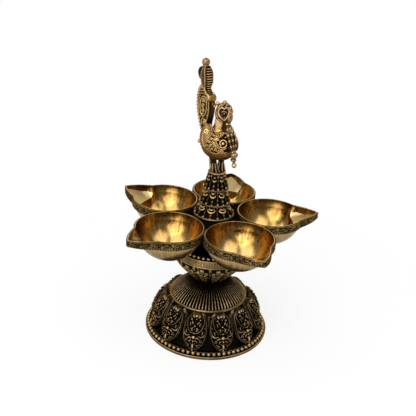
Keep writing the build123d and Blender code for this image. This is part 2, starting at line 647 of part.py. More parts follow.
def peacock_tail():
    """Upright leaf-shaped plate with a ribbed curl and an end ball, seated on the bird's back."""
    front = -TAIL_SETBACK
    back = front - TAIL_DEPTH
    middle = (front + back) / 2
    widest = BODY_MIDDLE + TAIL_RISE
    top = BODY_MIDDLE + TAIL_PLATE_TOP
    foot = BODY_MIDDLE
    foot_front = front - TAIL_FOOT_DEPTH / 2
    foot_back = foot_front - TAIL_FOOT_DEPTH
    plate_outline = face_of(
        Spline((foot_back, foot), (back, widest), (middle - TAIL_NECK_DEPTH / 2, top)),
        Line((middle - TAIL_NECK_DEPTH / 2, top), (middle + TAIL_NECK_DEPTH / 2, top)),
        Spline((middle + TAIL_NECK_DEPTH / 2, top), (front, widest), (foot_front, foot)),
        Line((foot_front, foot), (foot_back, foot)),
    )
    curl_middle = top + CURL_HEIGHT / 2 - CURL_LAP
    curl_outline = Pos(middle, curl_middle) * Ellipse(CURL_DEPTH / 2, CURL_HEIGHT / 2)
    plate = extrude(Plane.XZ * plate_outline, TAIL_THICKNESS / 2, both=True)
    curl = extrude(Plane.XZ * curl_outline, CURL_THICKNESS / 2, both=True)
    ball_level = curl_middle + CURL_HEIGHT / 2 + TAIL_BALL_RADIUS - TAIL_BALL_LAP
    ball = Pos(middle, 0, ball_level) * Sphere(TAIL_BALL_RADIUS)
    ribs = [
        Pos(middle, 0, curl_middle)
        * Pos(
            CURL_DEPTH / 2 * cos(radians(turn)), 0, CURL_HEIGHT / 2 * sin(radians(turn))
        )
        * Box(2 * CURL_RIB_RISE, CURL_THICKNESS, CURL_RIB_HEIGHT)
        for turn in spread(CURL_RIB_COUNT, CURL_RIB_ARC)
    ]
    plume_root = Pos(front - PLUME_RADIUS, 0, widest + PLUME_REACH / 3)
    plume = plume_root * Rot(0, 90, 0) * Cylinder(
        PLUME_RADIUS, PLUME_REACH + PLUME_RADIUS, align=(Align.CENTER, Align.CENTER, Align.MIN)
    )
    plume_ball = plume_root * Pos(PLUME_REACH + PLUME_RADIUS, 0, 0) * Sphere(PLUME_BALL_RADIUS)
    return BIRD_PLACE * (plate + [curl, ball, plume, plume_ball] + ribs - bird_body(BRAZE_GAP))


def bead_string():
    """One string of cut beads down the Z axis from the origin."""
    step = STRAND_LENGTH / STRING_BEADS
    rings = []
    for k in range(2 * STRING_BEADS + 1):
        radius = STRING_RADIUS if k % 2 else STRING_NECK_RADIUS
        rings.append(Pos(0, 0, -k * step / 2) * RegularPolygon(radius, STRING_SIDES))
    return loft(rings, ruled=True)


def bead_strand():
    """Three bead strings from a bar in the beak to a cap with a bud and a ball below it."""
    lean = Rot(0, -STRAND_LEAN, 0)
    pitch = 2 * STRING_RADIUS + STRING_GAP
    strings = [
        Pos(0, place, 0) * lean * bead_string() for place in spread(STRING_COUNT, STRING_COUNT * pitch)
    ]
    bar = Rot(90, 0, 0) * Cylinder(STRAND_BAR_RADIUS, STRING_COUNT * pitch)
    cap_top = -STRAND_LENGTH * cos(radians(STRAND_LEAN)) + STRAND_CAP_HEIGHT / 2
    bud_top = cap_top - STRAND_CAP_HEIGHT
    bud_end = bud_top - STRAND_BUD_HEIGHT
    drop = turned(
        Polyline((0, bud_end), (0, cap_top), (STRING_RADIUS, cap_top)),
        ThreePointArc(
            (STRING_RADIUS, cap_top),
            (STRAND_CAP_RADIUS, (cap_top + bud_top) / 2),
            (STRING_RADIUS, bud_top),
        ),
        ThreePointArc(
            (STRING_RADIUS, bud_top),
            (STRAND_BUD_RADIUS, (bud_top + bud_end) / 2),
            (STRING_RADIUS, bud_end),
        ),
        Line((STRING_RADIUS, bud_end), (0, bud_end)),
    )
    ball = Pos(0, 0, bud_end - STRAND_BALL_RADIUS / 2) * Sphere(STRAND_BALL_RADIUS)
    drop_place = Pos(STRAND_LENGTH * sin(radians(STRAND_LEAN)), 0, 0)
    strand = bar + strings + [drop_place * drop, drop_place * ball]
    hang = Pos(BEAK_TIP[0], 0, BEAK_TIP[1])
    return BIRD_PLACE * (hang * strand - bird_head(BRAZE_GAP) - bird_body(BRAZE_GAP))


def main():
    os.makedirs("parts", exist_ok=True)
    parts = {
        "lotus_base": lotus_base(),
        "foot_beads": bead_row(BEAD_RADIUS, BEAD_RING_RADIUS, LIP_HEIGHT + BEAD_RADIUS, BEAD_PITCH),
        "fluted_dome": fluted_dome(),
        "lotus_cup": lotus_cup(),
        "cup_beads": bead_row(
            CUP_BEAD_RADIUS, CUP_MOUTH_RADIUS - CUP_BEAD_RADIUS, CUP_TOP + CUP_BEAD_RADIUS, CUP_BEAD_PITCH
        ),
        "bowl_carrier": bowl_carrier(),
        "tiered_column": tiered_column(),
        "tie_rod": tie_rod(),
        "clamp_plate": clamp_plate(),
        "tie_nut": tie_nut(),
        "finial_stud": finial_stud(),
        "peacock_body": peacock_body(),
        "peacock_tail": peacock_tail(),
        "bead_strand": bead_strand(),
    }
    for k in range(BOWL_COUNT):
        parts[f"bowl_{k + 1}"] = bowl_place(k) * bowl()
    for name, shape in parts.items():
        export_step(shape, f"parts/{name}.step")


main()
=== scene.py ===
import math

import bmesh
import bpy
import numpy as np
from mathutils import Matrix, Vector


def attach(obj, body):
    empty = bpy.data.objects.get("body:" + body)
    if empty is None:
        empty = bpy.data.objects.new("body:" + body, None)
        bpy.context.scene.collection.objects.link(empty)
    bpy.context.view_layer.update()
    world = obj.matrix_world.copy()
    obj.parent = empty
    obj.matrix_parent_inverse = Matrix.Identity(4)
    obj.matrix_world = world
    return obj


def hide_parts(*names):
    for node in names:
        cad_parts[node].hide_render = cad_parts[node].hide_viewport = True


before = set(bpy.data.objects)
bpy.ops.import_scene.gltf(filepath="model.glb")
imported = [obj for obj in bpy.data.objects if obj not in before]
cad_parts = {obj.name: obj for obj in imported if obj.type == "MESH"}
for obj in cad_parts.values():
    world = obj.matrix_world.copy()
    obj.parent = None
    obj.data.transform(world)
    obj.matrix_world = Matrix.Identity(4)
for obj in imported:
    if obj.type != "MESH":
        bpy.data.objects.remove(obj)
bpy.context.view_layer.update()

# Everything below is in millimetres and degrees until a piece is made
MM = 0.001
TAU = 2 * math.pi

# Levels and radii of the CAD model
FOOT_RADIUS, FOOT_LAND, LIP_HEIGHT = 50.0, 5.5, 2.4
BEAD_RING, BEAD_RADIUS, BEAD_COUNT = 47.5, 1.6, 74
SHELF_RADIUS, SHELF_LEVEL = 45.8, 4.0
SKIRT_FOOT, SKIRT_TOP_RADIUS, SKIRT_TOP, SKIRT_BORE = 43.4, 30.1, 30.5, 23.0
PETAL_COUNT, PETAL_TURN = 12, 22.0
DOME_RADIUS, DOME_FOOT, DOME_TOP, RIB_COUNT = 29.7, 31.2, 47.0, 70
CUP_FOOT, CUP_SHOULDER, CUP_TOP, LEAF_COUNT = 47.1, 69.0, 74.5, 14
COLLAR_TOP, TICK_FOOT, TICK_TOP, TICK_COUNT = 73.9, 69.6, 73.3, 84
CUP_BEAD_RADIUS, CUP_BEAD_RING, CUP_BEAD_COUNT = 1.35, 25.35, 42
RIM_LEVEL, ORBIT, BOWL_COUNT = 104.0, 44.32, 5
BOWL_RADIUS, BOWL_INSIDE, BAND_RADIUS, BAND_HEIGHT = 25.4, 23.9, 25.9, 6.8
SPOUT_REACH, SPOUT_ROOT, SPOUT_BULGE, SPOUT_DEPTH = 38.8, 34.0, 1.5, 5.6
BAND_LIFT = 2.0           # rise of the band's lower edge at the spout's tip
COLUMN_FOOT, COLUMN_TOP, COLUMN_BORE = 102.0, 136.2, 2.6

# Mesh steps round each rib, leaf and unit of the bowls' frieze
RIB_STEPS, LEAF_STEPS, FRIEZE_STEPS = 12, 42, 36

# Spouts of the visual bowls
SPOUT_SILL = 19.2         # straight inner edge of a spout's floor, from the bowl's middle
SILL_LEAN = 0.28          # how far the wall below that edge leans in, for each mm down
FLOOR_TIP, FLOOR_SLOPE = -2.6, 0.36
FLOOR_WALL = 1.3          # metal below a spout's floor
SPOUT_SHADES = (0.12, 0.8, 0.68, 0.9, 0.0)    # each bowl's spout floor: painted shade on the two bowls in front, painted light on the three behind


# Curves and profiles
def circle(steps):
    return np.linspace(0, TAU, steps, endpoint=False)


def unit(vectors):
    return vectors / (np.linalg.norm(vectors, axis=-1, keepdims=True) + 1e-12)


def run_of(line):
    """Length along a line at each of its points."""
    return np.concatenate([[0], np.cumsum(np.linalg.norm(np.diff(line, axis=0), axis=1))])


def ridge(gap, half):
    """A round bar's back at a distance from its middle line: 1 on the line, 0 from its half width on."""
    return np.sqrt(np.clip(1 - (gap / half)**2, 0, 1))


def fade(value, width):
    """0 below zero, rising to 1 at the width."""
    return np.clip(value / width, 0, 1)


def polar(r, angle, z):
    return np.stack([r * np.cos(angle), r * np.sin(angle), z + 0 * angle], -1)


def lathe(profile, steps):
    """Points of a profile, given as radii and levels, turned about the z axis."""
    r, z = np.asarray(profile, float).T
    return polar(r, circle(steps)[:, None], z)


def smooth_line(points, steps):
    """A Catmull-Rom curve through the points, evenly spaced along its length."""
    p = np.asarray(points, float)
    p = np.vstack([2 * p[0] - p[1], p, 2 * p[-1] - p[-2]])
    t = np.linspace(0, 1, 16, endpoint=False)[:, None]
    out = []
    for a, b, c, d in zip(p, p[1:], p[2:], p[3:]):
        square, cube = 2 * a - 5 * b + 4 * c - d, 3 * b - a - 3 * c + d
        out.append(0.5 * (2 * b + (c - a) * t + square * t**2 + cube * t**3))
    curve = np.vstack(out + [p[-2:-1]])
    run = run_of(curve)
    where = np.linspace(0, run[-1], steps)
    return np.stack([np.interp(where, run, axis) for axis in curve.T], 1)


def spiral(x, y, start, end, begin, turns, steps=20):
    t = np.linspace(0, 1, steps)
    radius = start + (end - start) * t
    angle = math.radians(begin) + turns * TAU * t
    return np.stack([x + radius * np.cos(angle), y + radius * np.sin(angle)], 1)


# Mesh tools: a form is points, four-sided faces and a relief value for each point
def grid(points, relief=0.5, around=False, across=False):
    rows, columns = points.shape[:2]
    index = np.arange(rows * columns).reshape(rows, columns)
    if around:
        index = np.vstack([index, index[:1]])
    if across:
        index = np.hstack([index, index[:, :1]])
    quads = np.stack([index[:-1, :-1], index[1:, :-1], index[1:, 1:], index[:-1, 1:]], -1)
    return points.reshape(-1, 3), quads.reshape(-1, 4), np.broadcast_to(relief, (rows, columns)).reshape(-1)


def together(forms):
    points, faces, relief, start = [], [], [], 0
    for p, f, r in forms:
        points.append(p)
        faces.append(f + start)
        relief.append(r)
        start += len(p)
    return np.concatenate(points), np.concatenate(faces), np.concatenate(relief)


def moved(form, matrix):
    points, faces, relief = form
    m = np.array(matrix)
    return points @ m[:3, :3].T + m[:3, 3], faces, relief


def shifted(form, x, y, z):
    points, faces, relief = form
    return points + np.array([x, y, z]), faces, relief


def turned(form, degrees):
    return moved(form, Matrix.Rotation(math.radians(degrees), 4, "Z"))


def ring_of(count, form, start=0.0):
    return together([turned(form, start + k * 360 / count) for k in range(count)])


def spun(profile, steps, relief=0.5, across=False):
    return grid(lathe(profile, steps), relief, around=True, across=across)


def roll(radius, level, thick, steps=180, relief=0.75):
    """A ring of round bar about the z axis."""
    t = circle(14)
    return spun(np.stack([radius + thick * np.cos(t), level + thick * np.sin(t)], 1), steps, relief, across=True)


def ball(radius, x=0.0, y=0.0, z=0.0, steps=14, relief=0.8, stretch=1.0):
    t = np.linspace(-math.pi / 2, math.pi / 2, steps // 2 + 1)
    profile = np.stack([radius * np.cos(t), radius * stretch * np.sin(t)], 1)
    return shifted(spun(profile, steps, relief), x, y, z)


def raised(points, height, around=False):
    """A surface's points moved out along its normals."""
    if around:
        along = np.roll(points, -1, 0) - np.roll(points, 1, 0)
    else:
        along = np.gradient(points, axis=0)
    return points + unit(np.cross(along, np.gradient(points, axis=1))) * height[..., None]


def tube(path, radius, sides=8, relief=0.8, up=(0, 0, 1)):
    """A round bar along a path, closed with a point at each end."""
    p = np.asarray(path, float)
    r = np.broadcast_to(np.asarray(radius, float), len(p))
    tangent = unit(np.gradient(p, axis=0))
    side = np.cross(tangent, np.asarray(up, float))
    length = np.linalg.norm(side, axis=1, keepdims=True)
    side = np.where(length < 1e-6, np.array([1.0, 0, 0]), side / np.maximum(length, 1e-9))
    above = np.cross(side, tangent)
    angle = circle(sides)[None, :, None]
    rings = p[:, None] + (np.cos(angle) * side[:, None] + np.sin(angle) * above[:, None]) * r[:, None, None]
    ends = p[0] - tangent[0] * r[0] * 0.7, p[-1] + tangent[-1] * r[-1] * 0.7
    first, last = [np.broadcast_to(end, (1, sides, 3)) for end in ends]
    return grid(np.concatenate([first, rings, last]), relief, across=True)


def capped(points, relief):
    """A tube-like grid whose first and last rings are drawn to a point inside it."""
    first, last = [np.repeat(ring.mean(1, keepdims=True), points.shape[1], 1) for ring in (points[:1], points[-1:])]
    values = np.concatenate([relief[:1], relief, relief[-1:]])
    return grid(np.concatenate([first, points, last]), values, across=True)


# Carving: a stroke is a path on a surface, its half width and its rise
def strokes_over(x, y, strokes):
    height = np.zeros(x.shape)
    for path, half, rise in strokes:
        path = np.asarray(path, float)
        half = np.broadcast_to(np.asarray(half, float), len(path))
        low, high = path.min(0) - half.max(), path.max(0) + half.max()
        near = (x > low[0]) & (x < high[0]) & (y > low[1]) & (y < high[1])
        if not near.any():
            continue
        px, py = x[near], y[near]
        best = np.full(px.shape, 9.0)
        for (ax, ay), (bx, by), ha, hb in zip(path[:-1], path[1:], half[:-1], half[1:]):
            dx, dy = bx - ax, by - ay
            t = np.clip(((px - ax) * dx + (py - ay) * dy) / max(dx * dx + dy * dy, 1e-9), 0, 1)
            gap = np.hypot(px - ax - t * dx, py - ay - t * dy) / (ha + t * (hb - ha))
            np.minimum(best, gap, out=best)
        height[near] = np.maximum(height[near], rise * ridge(best, 1))
    return height


def dots(*rows):
    """Round bosses from rows of x, y, half width and rise."""
    return [([(x, y), (x, y + 1e-3)], half, rise) for x, y, half, rise in rows]


def bars(half, rise, *paths, steps=14):
    return [(smooth_line(path, steps), half, rise) for path in paths]


def curls(half, rise, *rows):
    """Scrolls from rows of spiral's values."""
    return [(spiral(*row), half, rise) for row in rows]


def leaves(*rows):
    """Curved leaves, widest half-way, from rows of half width, rise and points."""
    swell = np.sin(np.linspace(0.25, math.pi - 0.25, 14))
    return [(smooth_line(points, 14), wide * swell, rise) for wide, rise, *points in rows]


def both_sides(strokes):
    return strokes + [(np.asarray(path, float) * np.array([-1, 1]), half, rise) for path, half, rise in strokes]


# Materials
class Graph:
    """Short ways to add nodes to one node tree."""

    def __init__(self, tree):
        self.nodes, self.link = tree.nodes, tree.links.new

    def add(self, kind, **inputs):
        node = self.nodes.new("ShaderNode" + kind)
        for key, value in inputs.items():
            node.inputs[key].default_value = value
        return node

    def here(self):
        return self.add("TexCoord").outputs["Object"]

    def attribute(self, name, output):
        node = self.add("Attribute")
        node.attribute_name = name
        return node.outputs[output]

    def parts(self, vector):
        node = self.add("SeparateXYZ")
        self.link(vector, node.inputs["Vector"])
        return node.outputs

    def math(self, operation, *values, clamp=False):
        node = self.add("Math")
        node.operation = operation
        node.use_clamp = clamp
        for socket, value in zip(node.inputs, values):
            if isinstance(value, (int, float)):
                socket.default_value = value
            else:
                self.link(value, socket)
        return node.outputs[0]

    def noise(self, scale, detail, roughness=0.55, place=None):
        place = place or self.here()
        node = self.add("TexNoise", Scale=scale, Detail=detail, Roughness=roughness)
        self.link(place, node.inputs["Vector"])
        return node.outputs["Fac"]

    def ramp(self, value, stops):
        node = self.add("ValToRGB")
        self.link(value, node.inputs["Fac"])
        elements = node.color_ramp.elements
        while len(elements) < len(stops):
            elements.new(0.5)
        for element, (place, *colour) in zip(elements, stops):
            element.position = place
            element.color = (*colour, 1)
        return node.outputs["Color"]

    def spread(self, value, low, high, to_low, to_high):
        node = self.add("MapRange", **{"From Min": low, "From Max": high, "To Min": to_low, "To Max": to_high})
        self.link(value, node.inputs["Value"])
        return node.outputs["Result"]

    def bump(self, height, strength, depth, shader):
        node = self.add("Bump", Strength=strength, Distance=depth)
        self.link(height, node.inputs["Height"])
        self.link(node.outputs["Normal"], shader.inputs["Normal"])


def new_material(name):
    material = bpy.data.materials.new(name)
    material.use_nodes = True
    return material, Graph(material.node_tree), material.node_tree.nodes["Principled BSDF"]


def antique(name, stops, patch=0.5, rough=(0.55, 0.28), metal=(0.92, 1.0)):
    """Patinated brass: dark where the relief is low, rubbed bright on its high places and edges."""
    edge, grain = 1.6, 0.35
    material, g, shader = new_material(name)
    point = g.add("NewGeometry").outputs["Pointiness"]
    broad, fine = g.noise(90, 4), g.noise(1100, 3)
    rubbed = g.math("MULTIPLY_ADD", point, edge, -0.5 * edge)
    rubbed = g.math("ADD", g.attribute("relief", "Fac"), rubbed)
    rubbed = g.math("MULTIPLY_ADD", broad, patch, rubbed)
    rubbed = g.math("MULTIPLY_ADD", fine, grain, rubbed)
    rubbed = g.math("SUBTRACT", rubbed, 0.5 * (patch + grain), clamp=True)
    g.link(g.ramp(rubbed, stops), shader.inputs["Base Color"])
    g.link(g.spread(rubbed, 0, 1, *metal), shader.inputs["Metallic"])
    shader.inputs["Specular Tint"].default_value = (0.45, 0.32, 0.17, 1)
    rough_here = g.spread(rubbed, 0, 1, *rough)
    g.link(g.math("MULTIPLY_ADD", fine, 0.12, rough_here), shader.inputs["Roughness"])
    g.bump(fine, 0.25, 0.0003, shader)
    return material


# Stops of each ramp: place, then colour
ANTIQUE = antique("antique_brass", [
    (0.0, 0.003, 0.002, 0.0015), (0.3, 0.009, 0.0065, 0.004), (0.6, 0.084, 0.057, 0.029), (1.0, 0.56, 0.39, 0.2),
])
OLIVE = antique("olive_brass", [
    (0.0, 0.007, 0.005, 0.0025), (0.3, 0.04, 0.028, 0.012), (0.6, 0.2, 0.135, 0.055), (1.0, 0.54, 0.38, 0.17),
], patch=0.8, rough=(0.55, 0.3))
BIRD = antique("bird_brass", [
    (0.0, 0.006, 0.004, 0.002), (0.3, 0.045, 0.026, 0.009), (0.6, 0.29, 0.175, 0.06), (1.0, 0.86, 0.59, 0.26),
], rough=(0.5, 0.24))
COPPER = antique("copper_brass", [
    (0.0, 0.006, 0.0035, 0.002), (0.3, 0.045, 0.024, 0.012), (0.6, 0.22, 0.13, 0.062), (1.0, 0.68, 0.45, 0.235),
], rough=(0.48, 0.24))
DARK = antique("dark_brass", [
    (0.0, 0.006, 0.004, 0.002), (0.5, 0.02, 0.012, 0.005), (1.0, 0.12, 0.075, 0.03),
], rough=(0.6, 0.4), metal=(1.0, 1.0))
WORN = antique("worn_brass", [
    (0.0, 0.006, 0.004, 0.002), (0.35, 0.05, 0.032, 0.013), (0.65, 0.22, 0.145, 0.06), (1.0, 0.6, 0.42, 0.19),
], rough=(0.45, 0.24))
STEEL = antique("rod_steel", [
    (0.0, 0.3, 0.295, 0.285), (0.3, 0.45, 0.44, 0.42), (1.0, 0.6, 0.59, 0.57),
], rough=(0.45, 0.3))


def polished(name):
    """Brass of the bowls: polished inside, darker and browner up its walls, with stains and pits, satin outside; the
    relief brings painted shade to the lower outside and painted light and shade to the spout floors.
    """
    material, g, shader = new_material(name)
    relief = g.attribute("relief", "Fac")
    down = g.parts(g.add("NewGeometry").outputs["True Normal"])["Z"]
    outside = g.spread(down, -0.12, -0.02, 1.0, 0.0)
    broad, stain, fine = g.noise(70, 4), g.noise(320, 5, 0.7), g.noise(1500, 3)
    marks = g.noise(9, 4, 0.6, g.attribute("spin", "Vector"))
    upper = g.spread(relief, 0.4, 0.8, 1.0, 0.15)
    marks = g.math("MULTIPLY", g.math("SUBTRACT", marks, 0.5), upper)
    # Tarnish and stains, mixed with the painted shade and painted light that the relief brings
    tarnish_and_shade = g.math("MULTIPLY_ADD", broad, 0.4, relief)
    tarnish_and_shade = g.math("MULTIPLY_ADD", stain, 0.16, tarnish_and_shade)
    tarnish_and_shade = g.math("MULTIPLY_ADD", marks, 0.9, tarnish_and_shade)
    tarnish_and_shade = g.math("SUBTRACT", tarnish_and_shade, 0.28, clamp=True)
    smudge = g.math("MULTIPLY", g.spread(stain, 0.57, 0.67, 0.0, 0.6), upper)
    smudge = g.math("MULTIPLY", smudge, g.spread(broad, 0.46, 0.56, 0.0, 1.0))
    pits = g.add("TexVoronoi", Scale=260)
    g.link(g.here(), pits.inputs["Vector"])
    spot = g.spread(pits.outputs["Distance"], 0.1, 0.17, 1.0, 0.0)
    spot = g.math("MULTIPLY", spot, g.spread(broad, 0.52, 0.6, 0.0, 0.75))
    tarnish_and_shade = g.math("SUBTRACT", tarnish_and_shade, smudge, clamp=True)
    tarnish_and_shade = g.math("SUBTRACT", tarnish_and_shade, spot, clamp=True)
    mix = g.add("Mix")
    mix.data_type = "RGBA"
    g.link(outside, mix.inputs["Factor"])
    g.link(g.ramp(tarnish_and_shade, [
        (0.0, 0.025, 0.012, 0.003), (0.25, 0.22, 0.108, 0.021), (0.55, 0.5, 0.3, 0.082), (1.0, 0.78, 0.58, 0.27),
    ]), mix.inputs["A"])
    g.link(g.ramp(tarnish_and_shade, [
        (0.0, 0.035, 0.02, 0.007), (0.4, 0.25, 0.155, 0.055), (1.0, 0.56, 0.39, 0.165),
    ]), mix.inputs["B"])
    g.link(mix.outputs["Result"], shader.inputs["Base Color"])
    shader.inputs["Metallic"].default_value = 1.0
    scoured = g.spread(relief, 0.84, 1.04, 0.0, 0.22)
    rough = g.math("ADD", g.spread(stain, 0.3, 0.75, 0.15, 0.29), scoured)
    g.link(g.math("MULTIPLY_ADD", outside, 0.06, rough), shader.inputs["Roughness"])
    g.bump(g.math("ADD", fine, stain), 0.1, 0.0004, shader)
    return material


POLISHED = polished("polished_brass")


# Pieces
def mesh_of(name, form, material, crease):
    points, faces, relief = form
    mesh = bpy.data.meshes.new(name)
    mesh.from_pydata((points * MM).tolist(), [], faces.tolist())
    layer = mesh.attributes.new("relief", "FLOAT", "POINT")
    layer.data.foreach_set("value", np.ascontiguousarray(relief, np.float32))
    bm = bmesh.new()
    bm.from_mesh(mesh)
    bmesh.ops.remove_doubles(bm, verts=bm.verts, dist=1e-6)
    bmesh.ops.dissolve_degenerate(bm, dist=1e-7, edges=bm.edges)
    bmesh.ops.recalc_face_normals(bm, faces=bm.faces)
    bm.to_mesh(mesh)
    bm.free()
    mesh.shade_smooth()
    if crease:
        mesh.set_sharp_from_angle(angle=math.radians(crease))
    mesh.materials.append(material)
    return mesh


def piece(name, form, material, node, crease=None):
    thing = bpy.data.objects.new(name, mesh_of(name, form, material, crease))
    bpy.context.scene.collection.objects.link(thing)
    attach(thing, "root")
    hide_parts(node)
    return thing


# Foot: rim, channel and shelf, with the hollow inside
def foot_rim():
    # inset from the rim or the shelf's edge, level, relief
    rim = [
        (FOOT_LAND, 0.0, 0.2), (0.5, 0.0, 0.2), (0.1, 0.2, 0.5), (0.0, 0.7, 0.62), (0.0, 1.2, 0.62),
        (0.25, 1.35, 0.2), (0.25, 1.6, 0.2), (0.0, 1.75, 0.65), (0.0, 2.1, 0.75), (0.3, LIP_HEIGHT, 0.7),
        (0.9, LIP_HEIGHT, 0.5), (1.1, 2.2, 0.05),
    ]
    shelf = [
        (-0.1, 2.2, 0.05), (0.0, 2.4, 0.1), (0.0, SHELF_LEVEL - 0.3, 0.4), (0.3, SHELF_LEVEL, 0.6),
        (0.7, SHELF_LEVEL, 0.5), (0.9, SHELF_LEVEL - 0.2, 0.42),
        (SHELF_RADIUS - SKIRT_FOOT + 1.0, SHELF_LEVEL - 0.2, 0.36),
    ]
    rows = [(FOOT_RADIUS - inset, z, shade) for inset, z, shade in rim]
    rows += [(SHELF_RADIUS - inset, z, shade) for inset, z, shade in shelf]
    skirt = [(SKIRT_FOOT - 1.4, SHELF_LEVEL), (37.2, 17.5), (SKIRT_TOP_RADIUS, SKIRT_TOP - 0.4)]
    rows += [(r, z, 0.2) for r, z in smooth_line(skirt, 14)]
    top = [(SKIRT_TOP_RADIUS - 0.6, SKIRT_TOP), (SKIRT_BORE, SKIRT_TOP), (SKIRT_BORE, SKIRT_TOP - 2.6)]
    rows += [(r, z, 0.1) for r, z in top]
    hollow = [(SKIRT_TOP_RADIUS - 3.2, SKIRT_TOP - 2.8), (34.6, 15.5), (40.6, 3.2)]
    rows += [(r, z, 0.05) for r, z in smooth_line(hollow, 12)]
    rows = np.array(rows + [(FOOT_RADIUS - FOOT_LAND, 0.0, 0.1)])
    return spun(rows[:, :2], 240, rows[:, 2])


# Petals: radius and level up the middle of a petal's back, and half width by share of its length
PETAL_LINE = [
    (46.2, 4.5), (46.4, 7.0), (45.4, 12.0), (43.5, 17.5), (41.0, 23.2), (38.0, 28.2), (35.0, 31.3), (32.2, 31.9),
]
PETAL_WIDTHS = (
    [0, 0.04, 0.12, 0.22, 0.36, 0.5, 0.66, 0.8, 0.9, 0.96, 1.0],
    [0.9, 3.2, 5.8, 7.9, 9.2, 9.6, 9.2, 8.2, 6.8, 5.4, 3.6],
)
PETAL_CROWN, PETAL_DEPTH = 5.4, 5.5
DRAWN_LENGTH, DRAWN_WIDTH = 31.0, 1.13    # of the petal that the scrollwork is drawn for


def petal_strokes():
    """Scrollwork of one petal: x across, y up from its lower tip."""
    half = bars(0.3, 0.75, [(3.6, 28.8), (5.2, 25.4), (5.5, 21.4), (4.4, 17.2), (2.2, 14.8), (0, 14.0)], steps=24)
    half += leaves(
        (0.75, 1.1, (1.5, 25.6), (2.1, 26.8), (1.6, 28.4)), (0.5, 0.95, (2.5, 23.2), (1.9, 21.8), (1.3, 20.8)),
        (0.5, 0.8, (3.9, 22.2), (3.1, 20.8), (3.3, 19.2)), (0.55, 1.0, (0.9, 18.4), (1.9, 17.4), (1.2, 15.6)),
        (0.7, 0.9, (7.2, 17.2), (7.0, 13.8), (5.2, 12.0), (2.8, 12.6)),
        (0.45, 0.85, (5.0, 13.6), (5.5, 15.0), (4.9, 16.4)), (0.42, 0.75, (6.4, 22.6), (7.0, 20.4), (6.2, 18.2)),
        (0.4, 0.7, (5.5, 27.0), (6.4, 25.2), (6.3, 23.6)), (0.6, 1.0, (1.2, 10.6), (2.8, 11.0), (4.2, 9.8)),
        (0.5, 0.8, (7.1, 11.6), (6.7, 9.4), (5.6, 7.6)), (0.5, 0.9, (0.9, 8.9), (2.2, 8.6), (2.9, 7.2)),
        (0.42, 0.8, (0.9, 3.2), (1.7, 2.4), (2.6, 2.6)),
    )
    half += dots(
        (2.9, 24.2, 0.75, 1.1), (3.9, 26.2, 0.45, 0.8), (2.7, 17.6, 0.42, 0.8), (4.5, 20.0, 0.4, 0.7),
        (1.4, 6.6, 0.42, 0.8), (6.1, 15.9, 0.35, 0.6), (5.4, 5.6, 0.35, 0.6), (3.4, 14.2, 0.4, 0.7),
    )
    half += curls(0.36, 0.8, (4.6, 8.6, 1.0, 0.3, 100, -1.0, 12))
    half += curls(0.38, 0.8, (3.4, 5.0, 1.5, 0.4, 60, -1.1, 14))
    middle = dots(
        (0, 27.0, 1.15, 1.3), (0.3, 24.6, 0.62, 1.0), (0, 19.5, 0.8, 1.2), (-0.2, 22.4, 0.4, 0.7),
        (0, 17.0, 0.5, 0.9), (0, 14.3, 0.7, 1.1), (0, 11.3, 1.35, 1.3),
    )
    stem = [([(0, 8.0), (0, 9.0)], 0.55, 1.0), ([(0, 3.8), (0, 6.0)], 0.75, 1.3), ([(0, 1.2), (0, 2.2)], 0.6, 1.0)]
    return both_sides(half) + middle + stem


def petal():
    line = smooth_line(PETAL_LINE, 176)
    y = run_of(line)
    length = y[-1]
    u = np.linspace(-1, 1, 99)[:, None]
    width = np.interp(y / length, *PETAL_WIDTHS)
    x = u * width
    along = unit(np.gradient(line, axis=0))
    drop = PETAL_CROWN * (1 - np.sqrt(np.clip(1 - np.abs(u)**2.2, 0, 1)))
    r = line[:, 0] - drop * along[:, 1]
    z = np.maximum(line[:, 1] + drop * along[:, 0], SHELF_LEVEL - 0.3)
    points = np.stack([r, x, z], -1)
    yy = np.broadcast_to(y, x.shape)
    edge = np.minimum(width - np.abs(x), length - 1.2 - yy)
    carving = strokes_over(x / DRAWN_WIDTH, yy * DRAWN_LENGTH / length, petal_strokes())
    rims = 0.5 * ridge(edge - 0.35, 0.3), 0.75 * ridge(edge - 1.15, 0.32)
    height = np.maximum.reduce([*rims, carving * fade(edge - 1.5, 0.4)])
    # Towards the top the carving is shallower and its ground browner
    share = yy / length
    front = raised(points, height * np.interp(share, [0.66, 0.9], [1.2, 0.4]))
    ground = np.interp(share, [0.76, 0.94], [0.02, 0.48])
    relief = np.where(edge < 0, 0.66, np.maximum(ground, 0.02 + 0.8 * np.clip(height, 0, 1.25)))
    back = points - np.array([PETAL_DEPTH, 0, 0])
    shell = np.concatenate([front, back[:, ::-1]], 1)
    relief = np.concatenate([relief, np.full(relief.shape, 0.7)], 1)
    # Each long side closes on a line half-way between front and back
    seams = [0.5 * (front[k] + back[k]) for k in (0, -1)]
    first, last = [np.concatenate([seam, seam[::-1]])[None] for seam in seams]
    wall = np.full((1, relief.shape[1]), 0.1)
    return grid(np.concatenate([first, shell, last]), np.concatenate([wall, relief, wall]), across=True)


def dart():
    """Small leaf between two petals' tops."""
    return tube([(33.4, 0, 29.3), (35.0, 0, 27.0), (36.6, 0, 24.4), (38.0, 0, 21.6)], [1.6, 1.35, 0.9, 0.3], 8, 0.3)


def shell_of(outer, relief, inside, inner_relief):
    """A turned shell: its carved outside, closed by a plain profile inside."""
    inner = lathe(inside, len(outer))
    relief = np.concatenate([relief, np.full(inner.shape[:2], inner_relief)], 1)
    return grid(np.concatenate([outer, inner], 1), relief, around=True, across=True)


